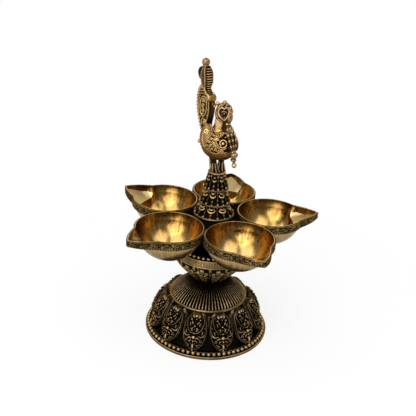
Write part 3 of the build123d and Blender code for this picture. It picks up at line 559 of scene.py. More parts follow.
# Ribbed dome
def dome():
    line = smooth_line([
        (DOME_RADIUS, DOME_FOOT), (28.5, 33.6), (25.0, 36.8), (20.0, 40.5), (15.0, 44.0), (12.0, 45.9),
        (10.3, DOME_TOP),
    ], 60)
    steps = RIB_COUNT * RIB_STEPS
    r = line[:, 0]
    phase = (circle(steps)[:, None] * RIB_COUNT / TAU + 0.5) % 1 - 0.5
    half = np.interp(r, [10, 16, 24, 30], [0.2, 0.3, 0.44, 0.52])
    rise = np.interp(r, [10, 14, 18, 30], [0.05, 0.3, 0.9, 1.05])
    shape = ridge(phase * TAU * r / RIB_COUNT, half)
    outer = raised(lathe(line, steps), shape * rise, around=True)
    # Painted shadow: the ribs darken towards the top, where the cup overhangs the dome
    relief = shape * np.interp(r, [10, 14, 20, 30], [0.08, 0.2, 0.66, 0.92])
    seat = [(9.5, DOME_TOP), (8.0, DOME_TOP), (8.0, 29.2), (22.9, 29.2), (22.9, 30.55), (DOME_RADIUS - 0.4, 30.6)]
    return shell_of(outer, relief, seat, 0.05)


# Leaf-clad cup
LEAF_WIDTH, LEAF_LENGTH = 11.5, 20.8      # of the leaf that the carving is drawn for


def cup_strokes():
    """One leaf of the cup: x across, y up its side, with half a leaf on either side behind it."""
    side = LEAF_WIDTH / 2
    half = bars(0.55, 0.9, [(0.4, 0.5), (2.0, 4.0), (3.4, 8.5), (3.6, 12.0), (2.6, 15.0)])
    half += bars(0.45, 0.9, [(0.2, 4.5), (1.2, 6.0), (2.4, 6.6)])
    half += bars(0.5, 0.9, [(0.2, 8.0), (1.4, 9.6), (2.8, 10.2)])
    half += bars(0.5, 0.95, [(0.2, 11.5), (1.4, 13.4), (2.6, 13.4)])
    half += bars(0.55, 0.95, [(0.3, 15.0), (1.2, 17.5), (0.8, 19.4)])
    half += curls(0.48, 1.0, (3.3, 16.0, 1.3, 0.3, 180, -1.2)) + curls(0.45, 0.85, (side, 19.6, 1.4, 0.3, 250, 1.1))
    half += dots((side, 15.4, 0.9, 0.9), (side, 11.0, 0.7, 0.8), (side, 7.0, 0.5, 0.7))
    middle = bars(0.4, 0.7, [(side, 0), (side, 8), (side, 14)]) + dots((0, 18.6, 1.1, 1.2), (0, 10.0, 0.8, 1.1))
    return both_sides(half) + middle + [([(0, 0.5), (0, 19.0)], 0.5, 1.0)]


def cup():
    line = smooth_line([
        (11.0, CUP_FOOT), (14.8, 50.0), (19.3, 54.8), (24.0, 60.0), (27.6, 65.4), (28.5, CUP_SHOULDER),
        (26.9, CUP_TOP),
    ], 116)
    z, y = line[:, 1], run_of(line)
    steps = LEAF_COUNT * LEAF_STEPS
    angle = circle(steps)[:, None]
    x = ((angle * LEAF_COUNT / TAU + 0.5) % 1 - 0.5) * LEAF_WIDTH + 0 * y
    yy = np.broadcast_to(y, x.shape)
    carving = strokes_over(x, yy * LEAF_LENGTH / np.interp(CUP_SHOULDER, z, y), cup_strokes())
    carving = carving * (z < CUP_SHOULDER - 0.4)
    # The collar above the leaves: two rings, with slanting ticks between them
    band = 0.55 * ridge(z - CUP_SHOULDER, 0.5) + 0.4 * ridge(z - COLLAR_TOP, 0.5)
    tick = np.abs((angle * TICK_COUNT / TAU) % 1 - 0.5 + 0.18 * np.sin(z * 2.4)) * 2
    engraved = 0.12 * np.clip(1 - tick * 1.4, 0, 1) * ((z > TICK_FOOT) & (z < TICK_TOP))
    outer = raised(lathe(line, steps), np.maximum(carving, band + engraved), around=True)
    collar = 0.7 + 0.2 * np.clip(band, 0, 1) - 2.0 * engraved
    relief = np.where(z > CUP_SHOULDER - 0.5, collar, 0.06 + 0.8 * np.clip(carving, 0, 1))
    hollow = smooth_line([(22.6, CUP_TOP), (23.6, 69.0), (20.0, 60.0), (8.0, 54.5)], 20)
    return shell_of(outer, relief, np.vstack([[(26.3, CUP_TOP)], hollow, [(8.0, CUP_FOOT)]]), 0.1)


# Spouted bowls: outline seen from above, about the bowl's own middle
def spout_side(inset):
    root = math.radians(SPOUT_ROOT)
    a = BAND_RADIUS * np.array([math.cos(root), math.sin(root)])
    b = np.array([SPOUT_REACH, 0.0])
    t = np.linspace(0, 1, 90)[:, None]
    away = unit(np.array([a[1] - b[1], b[0] - a[0]]))
    line = a + (b - a) * t + away * SPOUT_BULGE * (4 * t * (1 - t)) * (0.75 + 0.5 * t)
    tangent = unit(np.gradient(line, axis=0))
    line = line - np.stack([-tangent[:, 1], tangent[:, 0]], 1) * inset
    kept = line[line[:, 1] > 0.05]
    last = kept[-1]
    return np.vstack([kept, [(last[0] + last[1] * 0.6, 0.0)]])


def bowl_reach(angle, inset):
    x, y = spout_side(inset)[::-1].T
    where = np.arctan2(y, x)
    out = np.interp(np.abs(angle), where, np.hypot(x, y))
    return np.where(np.abs(angle) > where[-1], BAND_RADIUS - inset, out)


def bowl_angles(steps):
    """Directions of places evenly spaced round a bowl's edge, how far round they lie, and the whole way."""
    angle = np.pi * np.linspace(-1, 1, 2001)
    run = run_of(polar(bowl_reach(angle, 0), angle, 0))
    where = np.linspace(0, run[-1], steps, endpoint=False)
    return np.interp(where, run, angle), where, run[-1]


def tip_share(angle):
    """0 round the bowl, rising to 1 at the spout's tip."""
    return fade(bowl_reach(angle, 0) - BAND_RADIUS, SPOUT_REACH - BAND_RADIUS)


def bowl_shell(spout_shade):
    angle, _, _ = bowl_angles(260)
    share = tip_share(angle)
    low = -BAND_HEIGHT + BAND_LIFT * share
    spout = np.clip(5 * share, 0, 1)
    rim_out, rim_in = bowl_reach(angle, 0.35), bowl_reach(angle, 1.25)
    # A spout's floor slopes from its tip down to a straight sill, and its underside with it
    ahead = np.maximum(np.cos(angle), 0.3)
    chord = np.where(np.cos(angle) > 0.3, SPOUT_SILL / ahead, BOWL_INSIDE)
    tip = SPOUT_REACH - 1.7
    tip_floor = FLOOR_TIP - FLOOR_SLOPE * (tip - (rim_in - 0.4) * np.cos(angle))
    sill_floor = FLOOR_TIP - FLOOR_SLOPE * (tip - SPOUT_SILL)
    far_floor = -SPOUT_DEPTH + spout * (np.maximum(tip_floor, 0.2 - SPOUT_DEPTH) + SPOUT_DEPTH)
    floor = -SPOUT_DEPTH + spout * (sill_floor + SPOUT_DEPTH)
    edge = np.minimum(np.sqrt(BOWL_INSIDE**2 - floor**2), chord)
    reach = (1 - spout) * edge + spout * (rim_in - 0.4)
    over = fade(reach - BOWL_RADIUS + 1.4, np.maximum(reach - edge, 0.5))
    under = low + spout * np.minimum(far_floor + (floor - far_floor) * over - FLOOR_WALL - low, 0)
    start = np.sqrt(BOWL_RADIUS**2 - under**2)
    columns, relief = [], []

    def add(r, z, value):
        columns.append(polar(r, angle, z))
        relief.append(np.broadcast_to(value, angle.shape))

    for t in np.linspace(0, 1, 16):
        a = np.arccos(np.clip(-under / BOWL_RADIUS, -1, 1)) * t
        # Painted shade: the outside is darker towards its bottom, standing in for the shadowed floor it mirrors
        shade = np.interp(t, [0, 0.5, 0.75, 1], [0.0, 0.06, 0.36, 0.72])
        add(BOWL_RADIUS * np.sin(a), -BOWL_RADIUS * np.cos(a), shade)
    for t in (0.15, 0.4, 0.7, 0.92, 1.0):
        add(start + (np.maximum(rim_out, start) - start) * t, under + (low - under) * t, 0.45)
    for t in (0.03, 0.3, 0.7, 0.95):
        add(rim_out, low + (-0.25 - low) * t, 0.3)
    lip = [(0.0, -0.3, 0.2), (0.1, -0.1, 0.3), (0.3, 0.0, 0.62)]
    for inset, z, shade in lip:
        add(rim_out - inset, z, shade)
    for inset, z, shade in reversed(lip):
        add(rim_in + inset, z, shade)
    for t in (0.06, 0.2, 0.4, 0.6, 0.8, 0.93, 1.0):
        z = -0.3 + (far_floor + 0.3) * t
        add(rim_in + (1 - spout) * (edge - rim_in) * t**1.5 - 0.4 * spout * t, z, 0.2 + 0.12 * t)
    for t in (0.04, 0.3, 0.6, 0.9, 0.98):
        # Spout floors take each bowl's painted light and shade
        add(reach + (edge - reach) * t, far_floor + (floor - far_floor) * t, 0.32 + spout_shade * spout)
    for t in np.linspace(0, 1, 26):
        a = np.arccos(np.clip(-floor / BOWL_INSIDE, -1, 1)) * (1 - t)
        r, z = BOWL_INSIDE * np.sin(a), -BOWL_INSIDE * np.cos(a)
        sill = chord - SILL_LEAN * (floor - z) / ahead
        add(np.where(chord < BOWL_INSIDE, np.minimum(r, sill), r), z, 0.32 + 0.5 * min(1.0, 1.6 * t))
    return grid(np.stack(columns, 1), np.stack(relief, 1), around=True)


def run_marks(mesh, place):
    """Direction from the bowl's middle at each point, for marks that run down its walls."""
    layer = mesh.attributes.new("spin", "FLOAT_VECTOR", "POINT")
    back = place.inverted()
    for vertex, value in zip(mesh.vertices, layer.data):
        x, y, z = back @ (vertex.co / MM)
        r = max(math.hypot(x, y), 1e-6)
        value.vector = (x / r, y / r, 0.012 * z)


FRIEZE_MIDDLE = 3.75      # above the band's lower edge
FRIEZE_UNITS = 24


def band_strokes(across):
    """Four units of the bowls' frieze, every second one upside down: x along it, y up from its lower edge."""
    one = bars(0.3, 0.9, [
        (0, 2.0), (across * 0.25, 2.3), (across * 0.5, FRIEZE_MIDDLE), (across * 0.75, 5.2), (across, 5.5),
    ])
    one += bars(0.36, 0.9, [(across * 0.62, 4.4), (across * 0.72, 3.3), (across * 0.6, 2.5)])
    one += curls(0.33, 1.0, (across * 0.42, 4.75, 1.05, 0.25, 250, -1.2))
    one += curls(0.3, 0.9, (across * 0.86, 3.3, 0.8, 0.2, 60, -1.1))
    one += dots(
        (across * 0.42, 4.75, 0.5, 1.1), (across * 0.12, 3.6, 0.5, 1.0), (across * 0.2, 4.9, 0.36, 0.8),
        (across * 0.86, 2.1, 0.36, 0.8),
    )
    strokes = []
    for k in range(-1, 3):
        flip = 1 if k % 2 == 0 else -1
        shift = np.array([k * across, FRIEZE_MIDDLE * (1 - flip)])
        strokes += [(np.asarray(path) * np.array([1, flip]) + shift, half, rise) for path, half, rise in one]
    return strokes


def bowl_band():
    angle, run, length = bowl_angles(FRIEZE_UNITS * FRIEZE_STEPS)
    across = length / FRIEZE_UNITS
    high = (BAND_HEIGHT - BAND_LIFT * tip_share(angle))[:, None]
    t = np.linspace(0.0, 1.0, 40)
    y = np.broadcast_to(t * BAND_HEIGHT, (len(angle), len(t)))
    x = np.broadcast_to((np.abs(run - length / 2) % (2 * across))[:, None], y.shape)
    frieze = strokes_over(x, y, band_strokes(across)) * ((y > 1.55) & (y < 6.1))
    pitch = across / 4
    beads = ridge(np.hypot(x % pitch - pitch / 2, y - 0.72), 0.62)
    height = np.maximum.reduce([frieze, 0.9 * ridge(y - 6.35, 0.42), 0.7 * ridge(y - 1.55, 0.28), beads])
    body = bowl_reach(angle, 0)[:, None] - 0.12 + 0.55 * height
    inner = bowl_reach(angle, 0.75)[:, None]
    r = np.concatenate([body, inner, inner], 1)
    z = np.concatenate([-high * (1 - t) - 0.3 * t, np.full(high.shape, -0.3), -high], 1)
    relief = np.concatenate([0.02 + 0.62 * height, np.full((len(angle), 2), 0.2)], 1)
    return grid(polar(r, angle[:, None], z), relief, around=True, across=True)


# Tiered column: rings, crescents, stems and beads round a dark core
TIERS = [
    # top level, ring level, top radius, ring radius, crescents' half widths, shares of the height at their feet
    (136.0, 124.6, 6.2, 9.3, (1.1, 1.75), (0.17, 0.42)),
    (123.8, 113.0, 7.9, 11.6, (1.95, 2.7), (0.2, 0.47)),
    (112.2, 103.4, 9.9, 15.2, (2.4, 3.4), (0.32, 0.57)),
]
MOTIF_COUNT, COLUMN_TURN = 8, 8.0


def on_column(tier, share, turn=0.0, lift=0.0):
    top, low, top_radius, low_radius = tier[:4]
    r = top_radius + (low_radius - top_radius) * share**1.25 + lift
    a = math.radians(turn)
    return np.array([r * math.cos(a), r * math.sin(a), top + (low - top) * share])


def column_core():
    profile = [(COLUMN_BORE, COLUMN_FOOT), (14.6, COLUMN_FOOT)]
    for tier in reversed(TIERS):
        for share in np.linspace(1, 0, 9):
            sink = 0.9 + 0.9 * math.sin(math.pi * share)
            r, _, z = on_column(tier, share, lift=-sink)
            profile.append((r, z))
    profile += [(5.2, COLUMN_TOP), (COLUMN_BORE, COLUMN_TOP)]
    return spun(profile, 96, 0.08, across=True)


def column_rings():
    rings = [roll(low_radius - 0.1, low, 0.75, 120, 0.62) for _, low, _, low_radius, *_ in TIERS]
    return together(rings + [roll(14.7, COLUMN_FOOT + 0.6, 0.8, 120, 0.3)])


def crescent(tier, turn, foot, half):
    """A U-shaped shell on the column's side, thick in the middle and pointed at its ends."""
    a = np.radians(np.linspace(172, 368, 19))
    high = tier[0] - tier[1]
    thick = 0.2 + 0.17 * half
    wide = half - thick
    middle = foot - (0.8 * wide + thick) / high
    r = on_column(tier, middle)[0]
    path = []
    for x, z in zip(wide * np.cos(a), 0.8 * wide * np.sin(a)):
        lift = 0.1 + 0.45 * (1 - (x / wide)**2)
        path.append(on_column(tier, middle - z / high, turn + math.degrees(x / r), lift))
    swell = np.sin(np.linspace(0.05, math.pi - 0.05, 19))
    out = on_column(tier, middle, turn) * np.array([1, 1, 0])
    return tube(path, 0.12 + (thick - 0.12) * swell, 10, 0.95, up=unit(out))


def column_motifs():
    """The bright crescents and beads, and the darker stems and their buds."""
    bright, stems = [], []
    # share of the tier's height, lift, radius, relief, stretch
    under_crescents = [(0.7, 0.2, 0.95, 0.52, 1.35), (0.9, 0.45, 0.66, 0.72, 1.0)]
    between = [(0.6, 0.15, 0.7, 0.45, 1.7), (0.86, 0.5, 0.8, 0.85, 1.0), (0.06, 0.4, 0.72, 0.62, 1.0)]
    for tier in TIERS:
        (small, large), (upper, lower) = tier[4:]
        for k in range(MOTIF_COUNT):
            turn = COLUMN_TURN + k * 360 / MOTIF_COUNT
            half_way = turn + 180 / MOTIF_COUNT
            bright += [crescent(tier, turn, upper, small), crescent(tier, turn, lower, large)]
            spine = [on_column(tier, t, turn, -0.1) for t in (0.02, 0.2, 0.45, 0.7, 0.96)]
            stems.append(tube(spine, [0.4, 0.55, 0.6, 0.5, 0.35], 8, 0.28))
            spine = [on_column(tier, t, half_way, -0.1) for t in (0.02, 0.25, 0.5, 0.75, 0.97)]
            stems.append(tube(spine, [0.6, 0.45, 0.38, 0.45, 0.45], 8, 0.4))
            for where, rows in ((turn, under_crescents), (half_way, between)):
                for share, lift, radius, relief, stretch in rows:
                    bead = ball(radius, *on_column(tier, share, where, lift), 10, relief, stretch)
                    (stems if stretch > 1 else bright).append(bead)
    return together(bright), together(stems)


# Peacock: x forward from the column's axis, y to its left, z the lamp's own level
BIRD_TURN = -71.8
BODY_MIDDLE, BODY_HALF, BODY_RADIUS, BODY_TILT = 158.8, 14.8, 11.6, 12.0
HEAD_PLACE = np.array([3.0, 0.0, 183.2])
HEAD_HALF, HEAD_RADIUS = 7.1, 6.0
WING_HALF, WING_RADIUS, WING_LEAN = 10.8, 5.9, 5.0
WING_PLACE = (-5.0, 6.4, 4.2)             # from the body's middle
SCALE_PITCH, SCALE_COUNT = 2.3, 16        # rows of feathers on the rear

# Lines of the bird's carving in the quarter view, from the body's middle
VOLUTE = (2.9, 0.5)
BELLY_EDGE = np.array([
    (-13, -1.0), (-9, -3.4), (-6.8, -5.1), (-4, -6.4), (-0.7, -6.8), (3.1, -6.3), (6.8, -5.1), (10.5, -3.0),
])
NECKLACE = np.array([
    (-5.5, 6.9), (-4.3, 6.1), (-3.0, 5.6), (-1.7, 5.3), (-0.4, 5.4), (0.9, 5.8), (2.0, 6.5), (3.0, 7.5),
])
FLANK_CURLS = [
    (-5.6, 3.2), (-3.2, 3.0), (-0.9, 3.2), (-6.9, 1.0), (-4.4, 0.7), (-2.0, 0.8), (-5.8, -1.6), (-3.3, -1.6),
    (-0.9, -1.2), (-4.7, -4.0), (-2.2, -4.1), (0.4, -5.0), (7.3, 3.4), (8.6, 0.8), (7.4, -2.0), (9.6, 3.6),
    (-8.6, -1.8), (-7.3, -3.6), (3.0, -4.9), (9.4, -1.6),
]


def tilted(points, degrees, x, z):
    a = math.radians(degrees)
    out = points.copy()
    out[..., 0] = x + points[..., 0] * math.cos(a) - points[..., 2] * math.sin(a)
    out[..., 2] = z + points[..., 0] * math.sin(a) + points[..., 2] * math.cos(a)
    return out


def quarter_view(points):
    """Where places on the bird lie as seen from its front quarter, the same on both its sides: across and up."""
    x, y, z = points[..., 0], np.abs(points[..., 1]), points[..., 2]
    slant, rise = math.sqrt(0.5), math.radians(19.5)
    return slant * (x - y), math.cos(rise) * z - math.sin(rise) * slant * (x + y)


def bird_strokes():
    """Carving of the breast and flanks in the quarter view, measured from the body's middle."""
    strokes = curls(0.62, 1.15, (*VOLUTE, 3.0, 1.9, 230, 1.0, 26)) + dots((*VOLUTE, 1.25, 1.6))
    strokes += bars(0.55, 1.0, [(0.6, 7.0), (2.6, 8.2), (4.9, 7.7), (5.5, 5.9), (4.2, 4.8)])
    strokes += bars(0.5, 0.9, [(-0.6, -2.6), (1.2, -3.6), (3.6, -3.6), (5.4, -2.4)])
    strokes += bars(0.42, 0.9, BELLY_EDGE, steps=40) + bars(0.3, 0.7, NECKLACE - np.array([0.0, 1.0]), steps=20)
    strokes += dots(*[(x, y, 0.66, 1.25) for x, y in NECKLACE])
    for k, (x, y) in enumerate(FLANK_CURLS):
        strokes += curls(0.4, 1.0, (x, y, 1.15, 0.3, 67 * k, (1.1, -1.1)[k % 2], 14))
        strokes += dots((x + 1.2, y - 1.15, 0.4, 0.9))
    return strokes


def bird_body():
    sides = 280
    t = np.linspace(0, math.pi, 160)
    along = -BODY_HALF * np.cos(t)
    r = BODY_RADIUS * np.sin(t)**0.92 * (1 + 0.05 * np.sin(along / BODY_HALF * 1.5))
    points = lathe(np.stack([r, along], 1), sides)[..., [2, 0, 1]]
    x, y = quarter_view(tilted(points, BODY_TILT, 0.0, 0.0))
    carving = np.clip(strokes_over(x, y, bird_strokes()), 0, 1.6)
    plain = 1 - np.clip(carving, 0, 1)
    belly = fade(np.interp(x, *BELLY_EDGE.T) - 0.3 - y, 0.4)
    hatch = np.abs(np.sin(2.2 * (0.75 * x - y)))**3
    pit = fade(2.6 - np.hypot(x - VOLUTE[0], y - VOLUTE[1]), 0.4) * plain
    smooth = fade(y - np.interp(x, [-6, -1.7, 2.4, 5.5], [7.8, 6.2, 7.6, 9.0]), 0.4) * plain
    # Painted shadow: the breast is darkened where the bead strand hangs in front of it
    front = np.interp(x, [5.0, 6.4], [1.0, 0.3])
    # Rows of scale-shaped feathers on the rear
    row = along / SCALE_PITCH
    cell = np.linspace(0, SCALE_COUNT, sides, endpoint=False)[:, None] + 0.5 * (np.floor(row) % 2)
    scale = np.exp(-((np.hypot(row % 1, 1.6 * (cell % 1 - 0.5)) - 0.8) / 0.17)**2)
    rear = fade(-along - 5.0, 1.5) * (1 - belly)
    height = 0.8 * carving * (1 - belly) - 0.6 * pit + 0.3 * belly * hatch + 0.4 * rear * scale
    relief = (1 - belly) * (0.04 + 0.74 * carving + 0.55 * smooth) * front + belly * (0.36 + 0.34 * hatch)
    relief = np.maximum(relief, rear * (0.26 + 0.5 * scale))
    out = tilted(raised(points, height, around=True), BODY_TILT, 0.0, BODY_MIDDLE)
    return grid(out, np.clip(relief, 0, 1), around=True)


def wing(side):
    """A folded wing, tip down: a leaf with a double border and fine barbs."""
    t = np.linspace(-1, 1, 120)
    r = WING_RADIUS * np.clip(1 - t**2, 0, 1)**np.where(t > 0, 0.55, 0.8)
    angle = np.linspace(-math.pi, math.pi, 150, endpoint=False)[:, None]
    along = WING_HALF * t + 0 * angle
    out = np.array([0.34, 0.94])
    points = np.stack([
        r * (np.cos(angle) * out[0] - np.sin(angle) * out[1]),
        r * (np.cos(angle) * out[1] + np.sin(angle) * out[0]), along,
    ], -1)
    across = angle * r
    turn = np.degrees(np.abs(angle))
    border = np.maximum(ridge(turn - 84, 8), math.sqrt(0.8) * ridge(turn - 62, 5))
    inside = fade(56 - turn, 4)
    barbs = np.abs(np.sin(2.1 * (along + 0.9 * across)))**2
    strokes = curls(0.55, 1.1, (0.4, 6.2, 2.0, 0.5, 300, 1.2))
    strokes += bars(0.45, 0.8, [(-1.4, 5.0), (-2.0, 1.6), (-1.2, -2.6), (0.4, -6.4)])
    curl = np.clip(strokes_over(-across, along, strokes), 0, 1)
    height = 0.55 * border + inside * np.maximum(0.28 * barbs, 0.7 * curl)
    relief = np.clip(0.16 + 0.62 * border + inside * (0.32 + 0.22 * barbs + 0.3 * curl), 0, 1)
    x, y, z = WING_PLACE
    shape = tilted(raised(points, height, around=True), WING_LEAN, x, BODY_MIDDLE + z)
    shape[..., 1] = side * (shape[..., 1] + y)
    return grid(shape, relief, around=True)


def limb(path, radius, steps, sides, relief=0.7):
    """A round bar through the given places, its radius given at even steps along it."""
    r = np.interp(np.linspace(0, 1, steps), np.linspace(0, 1, len(radius)), radius)
    return tube(smooth_line(path, steps), r, sides, relief, up=(0, 1, 0))


def fluted(path, radius, steps, sides, relief, flutes, depth):
    """A limb with flutes along it."""
    points, faces, _ = limb(path, radius, steps, sides)
    p = smooth_line(path, steps)
    middle = np.vstack([p[:1], p, p[-1:]])[:, None]
    wave = (0.5 + 0.5 * np.cos(circle(sides) * flutes))**2.6
    rings = points.reshape(steps + 2, sides, 3)
    rings = middle + (rings - middle) * (1 - depth * (1 - wave[:, None]))
    shade = np.broadcast_to(relief * (0.1 + 0.9 * wave), rings.shape[:2])
    return rings.reshape(-1, 3), faces, shade.reshape(-1)


def bird_neck():
    neck = [(-2.0, 0, 165.0), (-1.4, 0, 169.0), (-0.2, 0, 174.0), (1.4, 0, 179.5)]
    throat = [(6.2, 0, 178.6), (5.4, 0, 174.6), (5.0, 0, 169.0)]
    # The collar lies on the body's back round the neck's foot
    a = np.linspace(0, TAU, 41)
    x, y = -1.2 + 5.6 * np.cos(a), 5.4 * np.sin(a)
    drop = 1 - (x / BODY_HALF)**2 - (y / BODY_RADIUS)**2
    collar = np.stack([x, y, BODY_MIDDLE + BODY_RADIUS * np.sqrt(np.maximum(drop, 0)) + 0.205 * x + 0.3], 1)
    return together([
        # The throat's low relief paints it dark: painted shade behind the bead strand
        limb(neck, [6.4, 5.0, 4.4, 4.4, 4.7], 22, 32, 0.86), limb(throat, [2.2, 2.0, 2.8], 12, 16, 0.16),
        tube(collar, 0.75, 10, 0.8),
    ])


def head_strokes():
    """Heart-shaped face plate, eye and helmet ridges in the quarter view, measured from the head's middle."""
    return (
        bars(0.6, 1.1, [(0.0, 2.4), (1.3, 3.4), (2.9, 2.4), (3.2, -0.4), (2.0, -3.2), (0.6, -5.2)],
             [(0.0, 2.4), (-1.6, 3.4), (-3.5, 2.0), (-3.8, -0.6), (-2.2, -3.2), (0.6, -5.2)], steps=24)
        + bars(0.4, 0.9, [(-1.7, 0.2), (-0.2, 1.0), (1.6, 0.0)])
        + bars(0.55, 1.0, [(-0.4, 6.4), (-2.8, 5.0), (-4.4, 2.6)])
        + bars(0.55, 0.9, [(-1.6, 6.6), (-4.2, 5.0), (-5.4, 2.0)], [(-4.9, 1.0), (-5.2, -1.4), (-4.2, -3.6)])
        + bars(0.5, 0.9, [(0.4, 6.2), (-1.2, 5.2), (-2.2, 4.2)], [(1.2, 6.0), (1.2, 4.8), (0.6, 4.0)],
               [(2.0, 5.8), (3.0, 4.6), (3.3, 3.2)], [(-4.2, -4.4), (-2.4, -5.4), (-0.6, -6.2)])
        + dots((0.1, -0.6, 0.6, 1.0), (-1.4, -1.4, 0.35, 0.8), (0.4, -3.4, 0.6, 0.9))
    )


def bird_head():
    sides = 180
    t = np.linspace(0, math.pi, 90)
    up = -HEAD_HALF * np.cos(t)
    r = HEAD_RADIUS * np.sin(t)**0.9 * (1 + 0.06 * np.cos(t))
    points = lathe(np.stack([r, up], 1), sides)
    x, y = quarter_view(points)
    nape = fade(-4.6 - x, 0.6) * (0.5 + 0.5 * np.cos(26 * circle(sides)[:, None] + 0.5 * up))
    carving = np.maximum(np.clip(strokes_over(x, y, head_strokes()), 0, 1.4), 0.7 * nape)
    out = raised(points, 0.75 * carving, around=True) + HEAD_PLACE
    skull = grid(out, np.clip(0.16 + 0.66 * carving, 0, 1), around=True)
    beak = [(6.4, 0, 183.0), (9.0, 0, 181.0), (8.8, 0, 178.6), (7.9, 0, 176.6)]
    crest = [ball(1.55, 3.1, 0, 191.0, 14, 0.75), limb([(3.1, 0, 188.6), (3.1, 0, 191.0)], [1.6, 0.9], 5, 12, 0.5)]
    for a in np.radians(18 + 24 * np.arange(7)):
        x, _, z = HEAD_PLACE + np.array([6.1 * math.cos(a), 0, 7.2 * math.sin(a)])
        crest.append(ball(0.8, x, 0, z, 10, 0.7))
    return together([skull, limb(beak, [3.3, 2.5, 1.7, 0.8], 12, 14, 0.6)] + crest)


def bird_legs():
    plinth = [(2.2, 136.2), (6.0, 136.2), (6.2, 136.7), (6.2, 137.5), (5.6, 138.0), (2.2, 138.0)]
    forms = [roll(5.9, 137.2, 0.85, 80, 0.8), spun(plinth, 64, 0.5, across=True)]
    toes = (TAU * (np.arange(7) + 0.5) / 7).tolist()
    leg = [(0.6, 3.0, 137.6), (0.4, 3.3, 141.0), (0.0, 3.8, 145.5), (-0.6, 4.3, 150.5)]
    stay = [(-1.4, 4.5, 138.0), (-1.6, 4.8, 144.0), (-2.2, 5.0, 150.0)]
    for side in (-1, 1):
        flip = np.array([1, side, 1])
        forms.append(fluted(leg * flip, [3.4, 2.6, 2.1, 2.7], 26, 90, 0.6, 9, 0.4))
        for a in toes:
            x, y = math.cos(a), math.sin(a)
            toe = [(0.2 + 1.9 * x, 3.7 + 1.8 * y, 145.0), (0.5 + 2.9 * x, 3.3 + 2.7 * y, 141.2),
                   (0.6 + 4.3 * x, 3.0 + 3.8 * y, 138.3)]
            forms.append(limb(toe * flip, [0.3, 0.5, 0.25], 9, 8, 0.8))
        for k in range(9):
            forms.append(ball(0.95, -1.6 - 0.12 * k, (5.0 + 0.08 * k) * side, 138.6 + 1.3 * k, 10, 0.78))
        forms.append(limb(stay * flip, [1.3, 1.0, 1.5], 10, 12, 0.3))
    return together(forms)


def bird_knob():
    """Knob on a stem behind the body, with a small ring round the stem."""
    rear = -BODY_HALF * math.cos(math.radians(BODY_TILT))
    low = BODY_MIDDLE - BODY_HALF * math.sin(math.radians(BODY_TILT))
    points, faces, relief = roll(0.75, 0.0, 0.35, 24, 0.6)
    upright = np.stack([points[:, 2] + rear - 4.6, points[:, 1], low - 0.5 - points[:, 0]], 1)
    return together([
        limb([(rear + 1.0, 0, low), (rear - 6.0, 0, low - 0.6)], [1.2, 0.7], 8, 12, 0.5),
        ball(1.45, rear - 6.6, 0, low - 0.7, 12, 0.7), ball(1.1, rear - 0.8, 0, low, 12, 0.5),
        (upright, faces, relief),
    ])


# Tail: a plate in the bird's middle plane, its outline given by its back and front edges
def blade(outline, half, rows, side_steps, carving, rise, grooves):
    """One plate and its back edge: rise is the height of the front edge's rungs at a level."""
    levels, back, front = np.array(outline).T
    z = np.linspace(levels[0], levels[-1], rows)
    edges = [smooth_line(np.stack([levels, edge], 1), 400).T for edge in (back, front)]
    b, f = [np.interp(z, *edge)[:, None] for edge in edges]
    z = z[:, None]
    x = b + (f - b) * np.linspace(0, 1, side_steps)
    zz = np.broadcast_to(z, x.shape)
    inset = np.minimum(np.minimum(x - b, f - x), 3.0)
    height = np.maximum(strokes_over(x, zz, carving), 0.9 * ridge(inset - 0.75, 0.5))
    taper = np.clip((f - b) / 5.0, 0.25, 1)
    y = half * taper * (0.86 + 0.14 * fade(inset, 0.6)) + 0.6 * height - 0.3
    side = np.stack([x, y, zz], -1)
    other = side[:, ::-1] * np.array([1, -1, 1])
    steps = np.linspace(1, -1, 9)[1:-1]
    bulge = np.sqrt(1 - 0.75 * steps**2)
    level = z + 0 * steps
    front_face = np.stack([f + (0.35 + rise(z)) * bulge, y[:, -1:] * steps, level], -1)
    back_face = np.stack([b - 0.35 * bulge, -y[:, :1] * steps, level], -1)
    shade = np.clip(0.2 + 0.62 * height, 0, 1)
    front_shade = 0.04 + 0.9 * np.clip(rise(z) / 0.9, 0, 1) + grooves * (np.arange(len(steps)) % 2)
    loop = np.concatenate([side, front_face, other, back_face], 1)
    values = np.concatenate([shade, front_shade, shade[:, ::-1], np.full(level.shape, 0.35)], 1)
    return capped(loop, values), np.concatenate([b, z], 1)


def tail_strokes():
    """Carving of the tail's plate: x forward, y the level."""
    t = np.linspace(0, TAU, 30)
    oval = np.stack([-15.8 + 3.5 * np.cos(t), 184.0 + 7.4 * np.sin(t)], 1)
    strokes = [(oval, 0.5, 1.0)] + curls(0.5, 1.0, (-13.8, 172.4, 2.2, 0.4, 120, -1.5))
    strokes += curls(0.42, 0.95, (-15.6, 188.2, 1.7, 0.3, 90, 1.4), (-16.1, 184.6, 1.6, 0.3, 270, -1.4),
                     (-15.6, 181.0, 1.6, 0.3, 90, 1.4))
    strokes += bars(0.45, 0.9, [(-16.4, 169.5), (-16.8, 173.0), (-15.2, 176.0)])
    strokes += bars(
        0.4, 0.9, [(-21.2, 192.0), (-17.0, 193.4), (-12.5, 192.6)], [(-20.8, 194.2), (-17.0, 195.4), (-14.0, 194.6)],
        [(-19.8, 196.4), (-17.6, 197.2), (-16.0, 196.4)],
    )
    strokes += bars(0.45, 0.8, [(-20.6, 181.0), (-20.9, 185.0), (-20.4, 189.5)])
    small = [(-19.6, 178.4), (-11.6, 178.0), (-12.0, 189.6), (-18.4, 175.4), (-11.3, 182.4), (-20.2, 190.8)]
    return strokes + dots((-16.0, 178.4, 0.8, 1.0), (-13.8, 172.4, 0.8, 1.1), *[(x, y, 0.6, 0.9) for x, y in small])


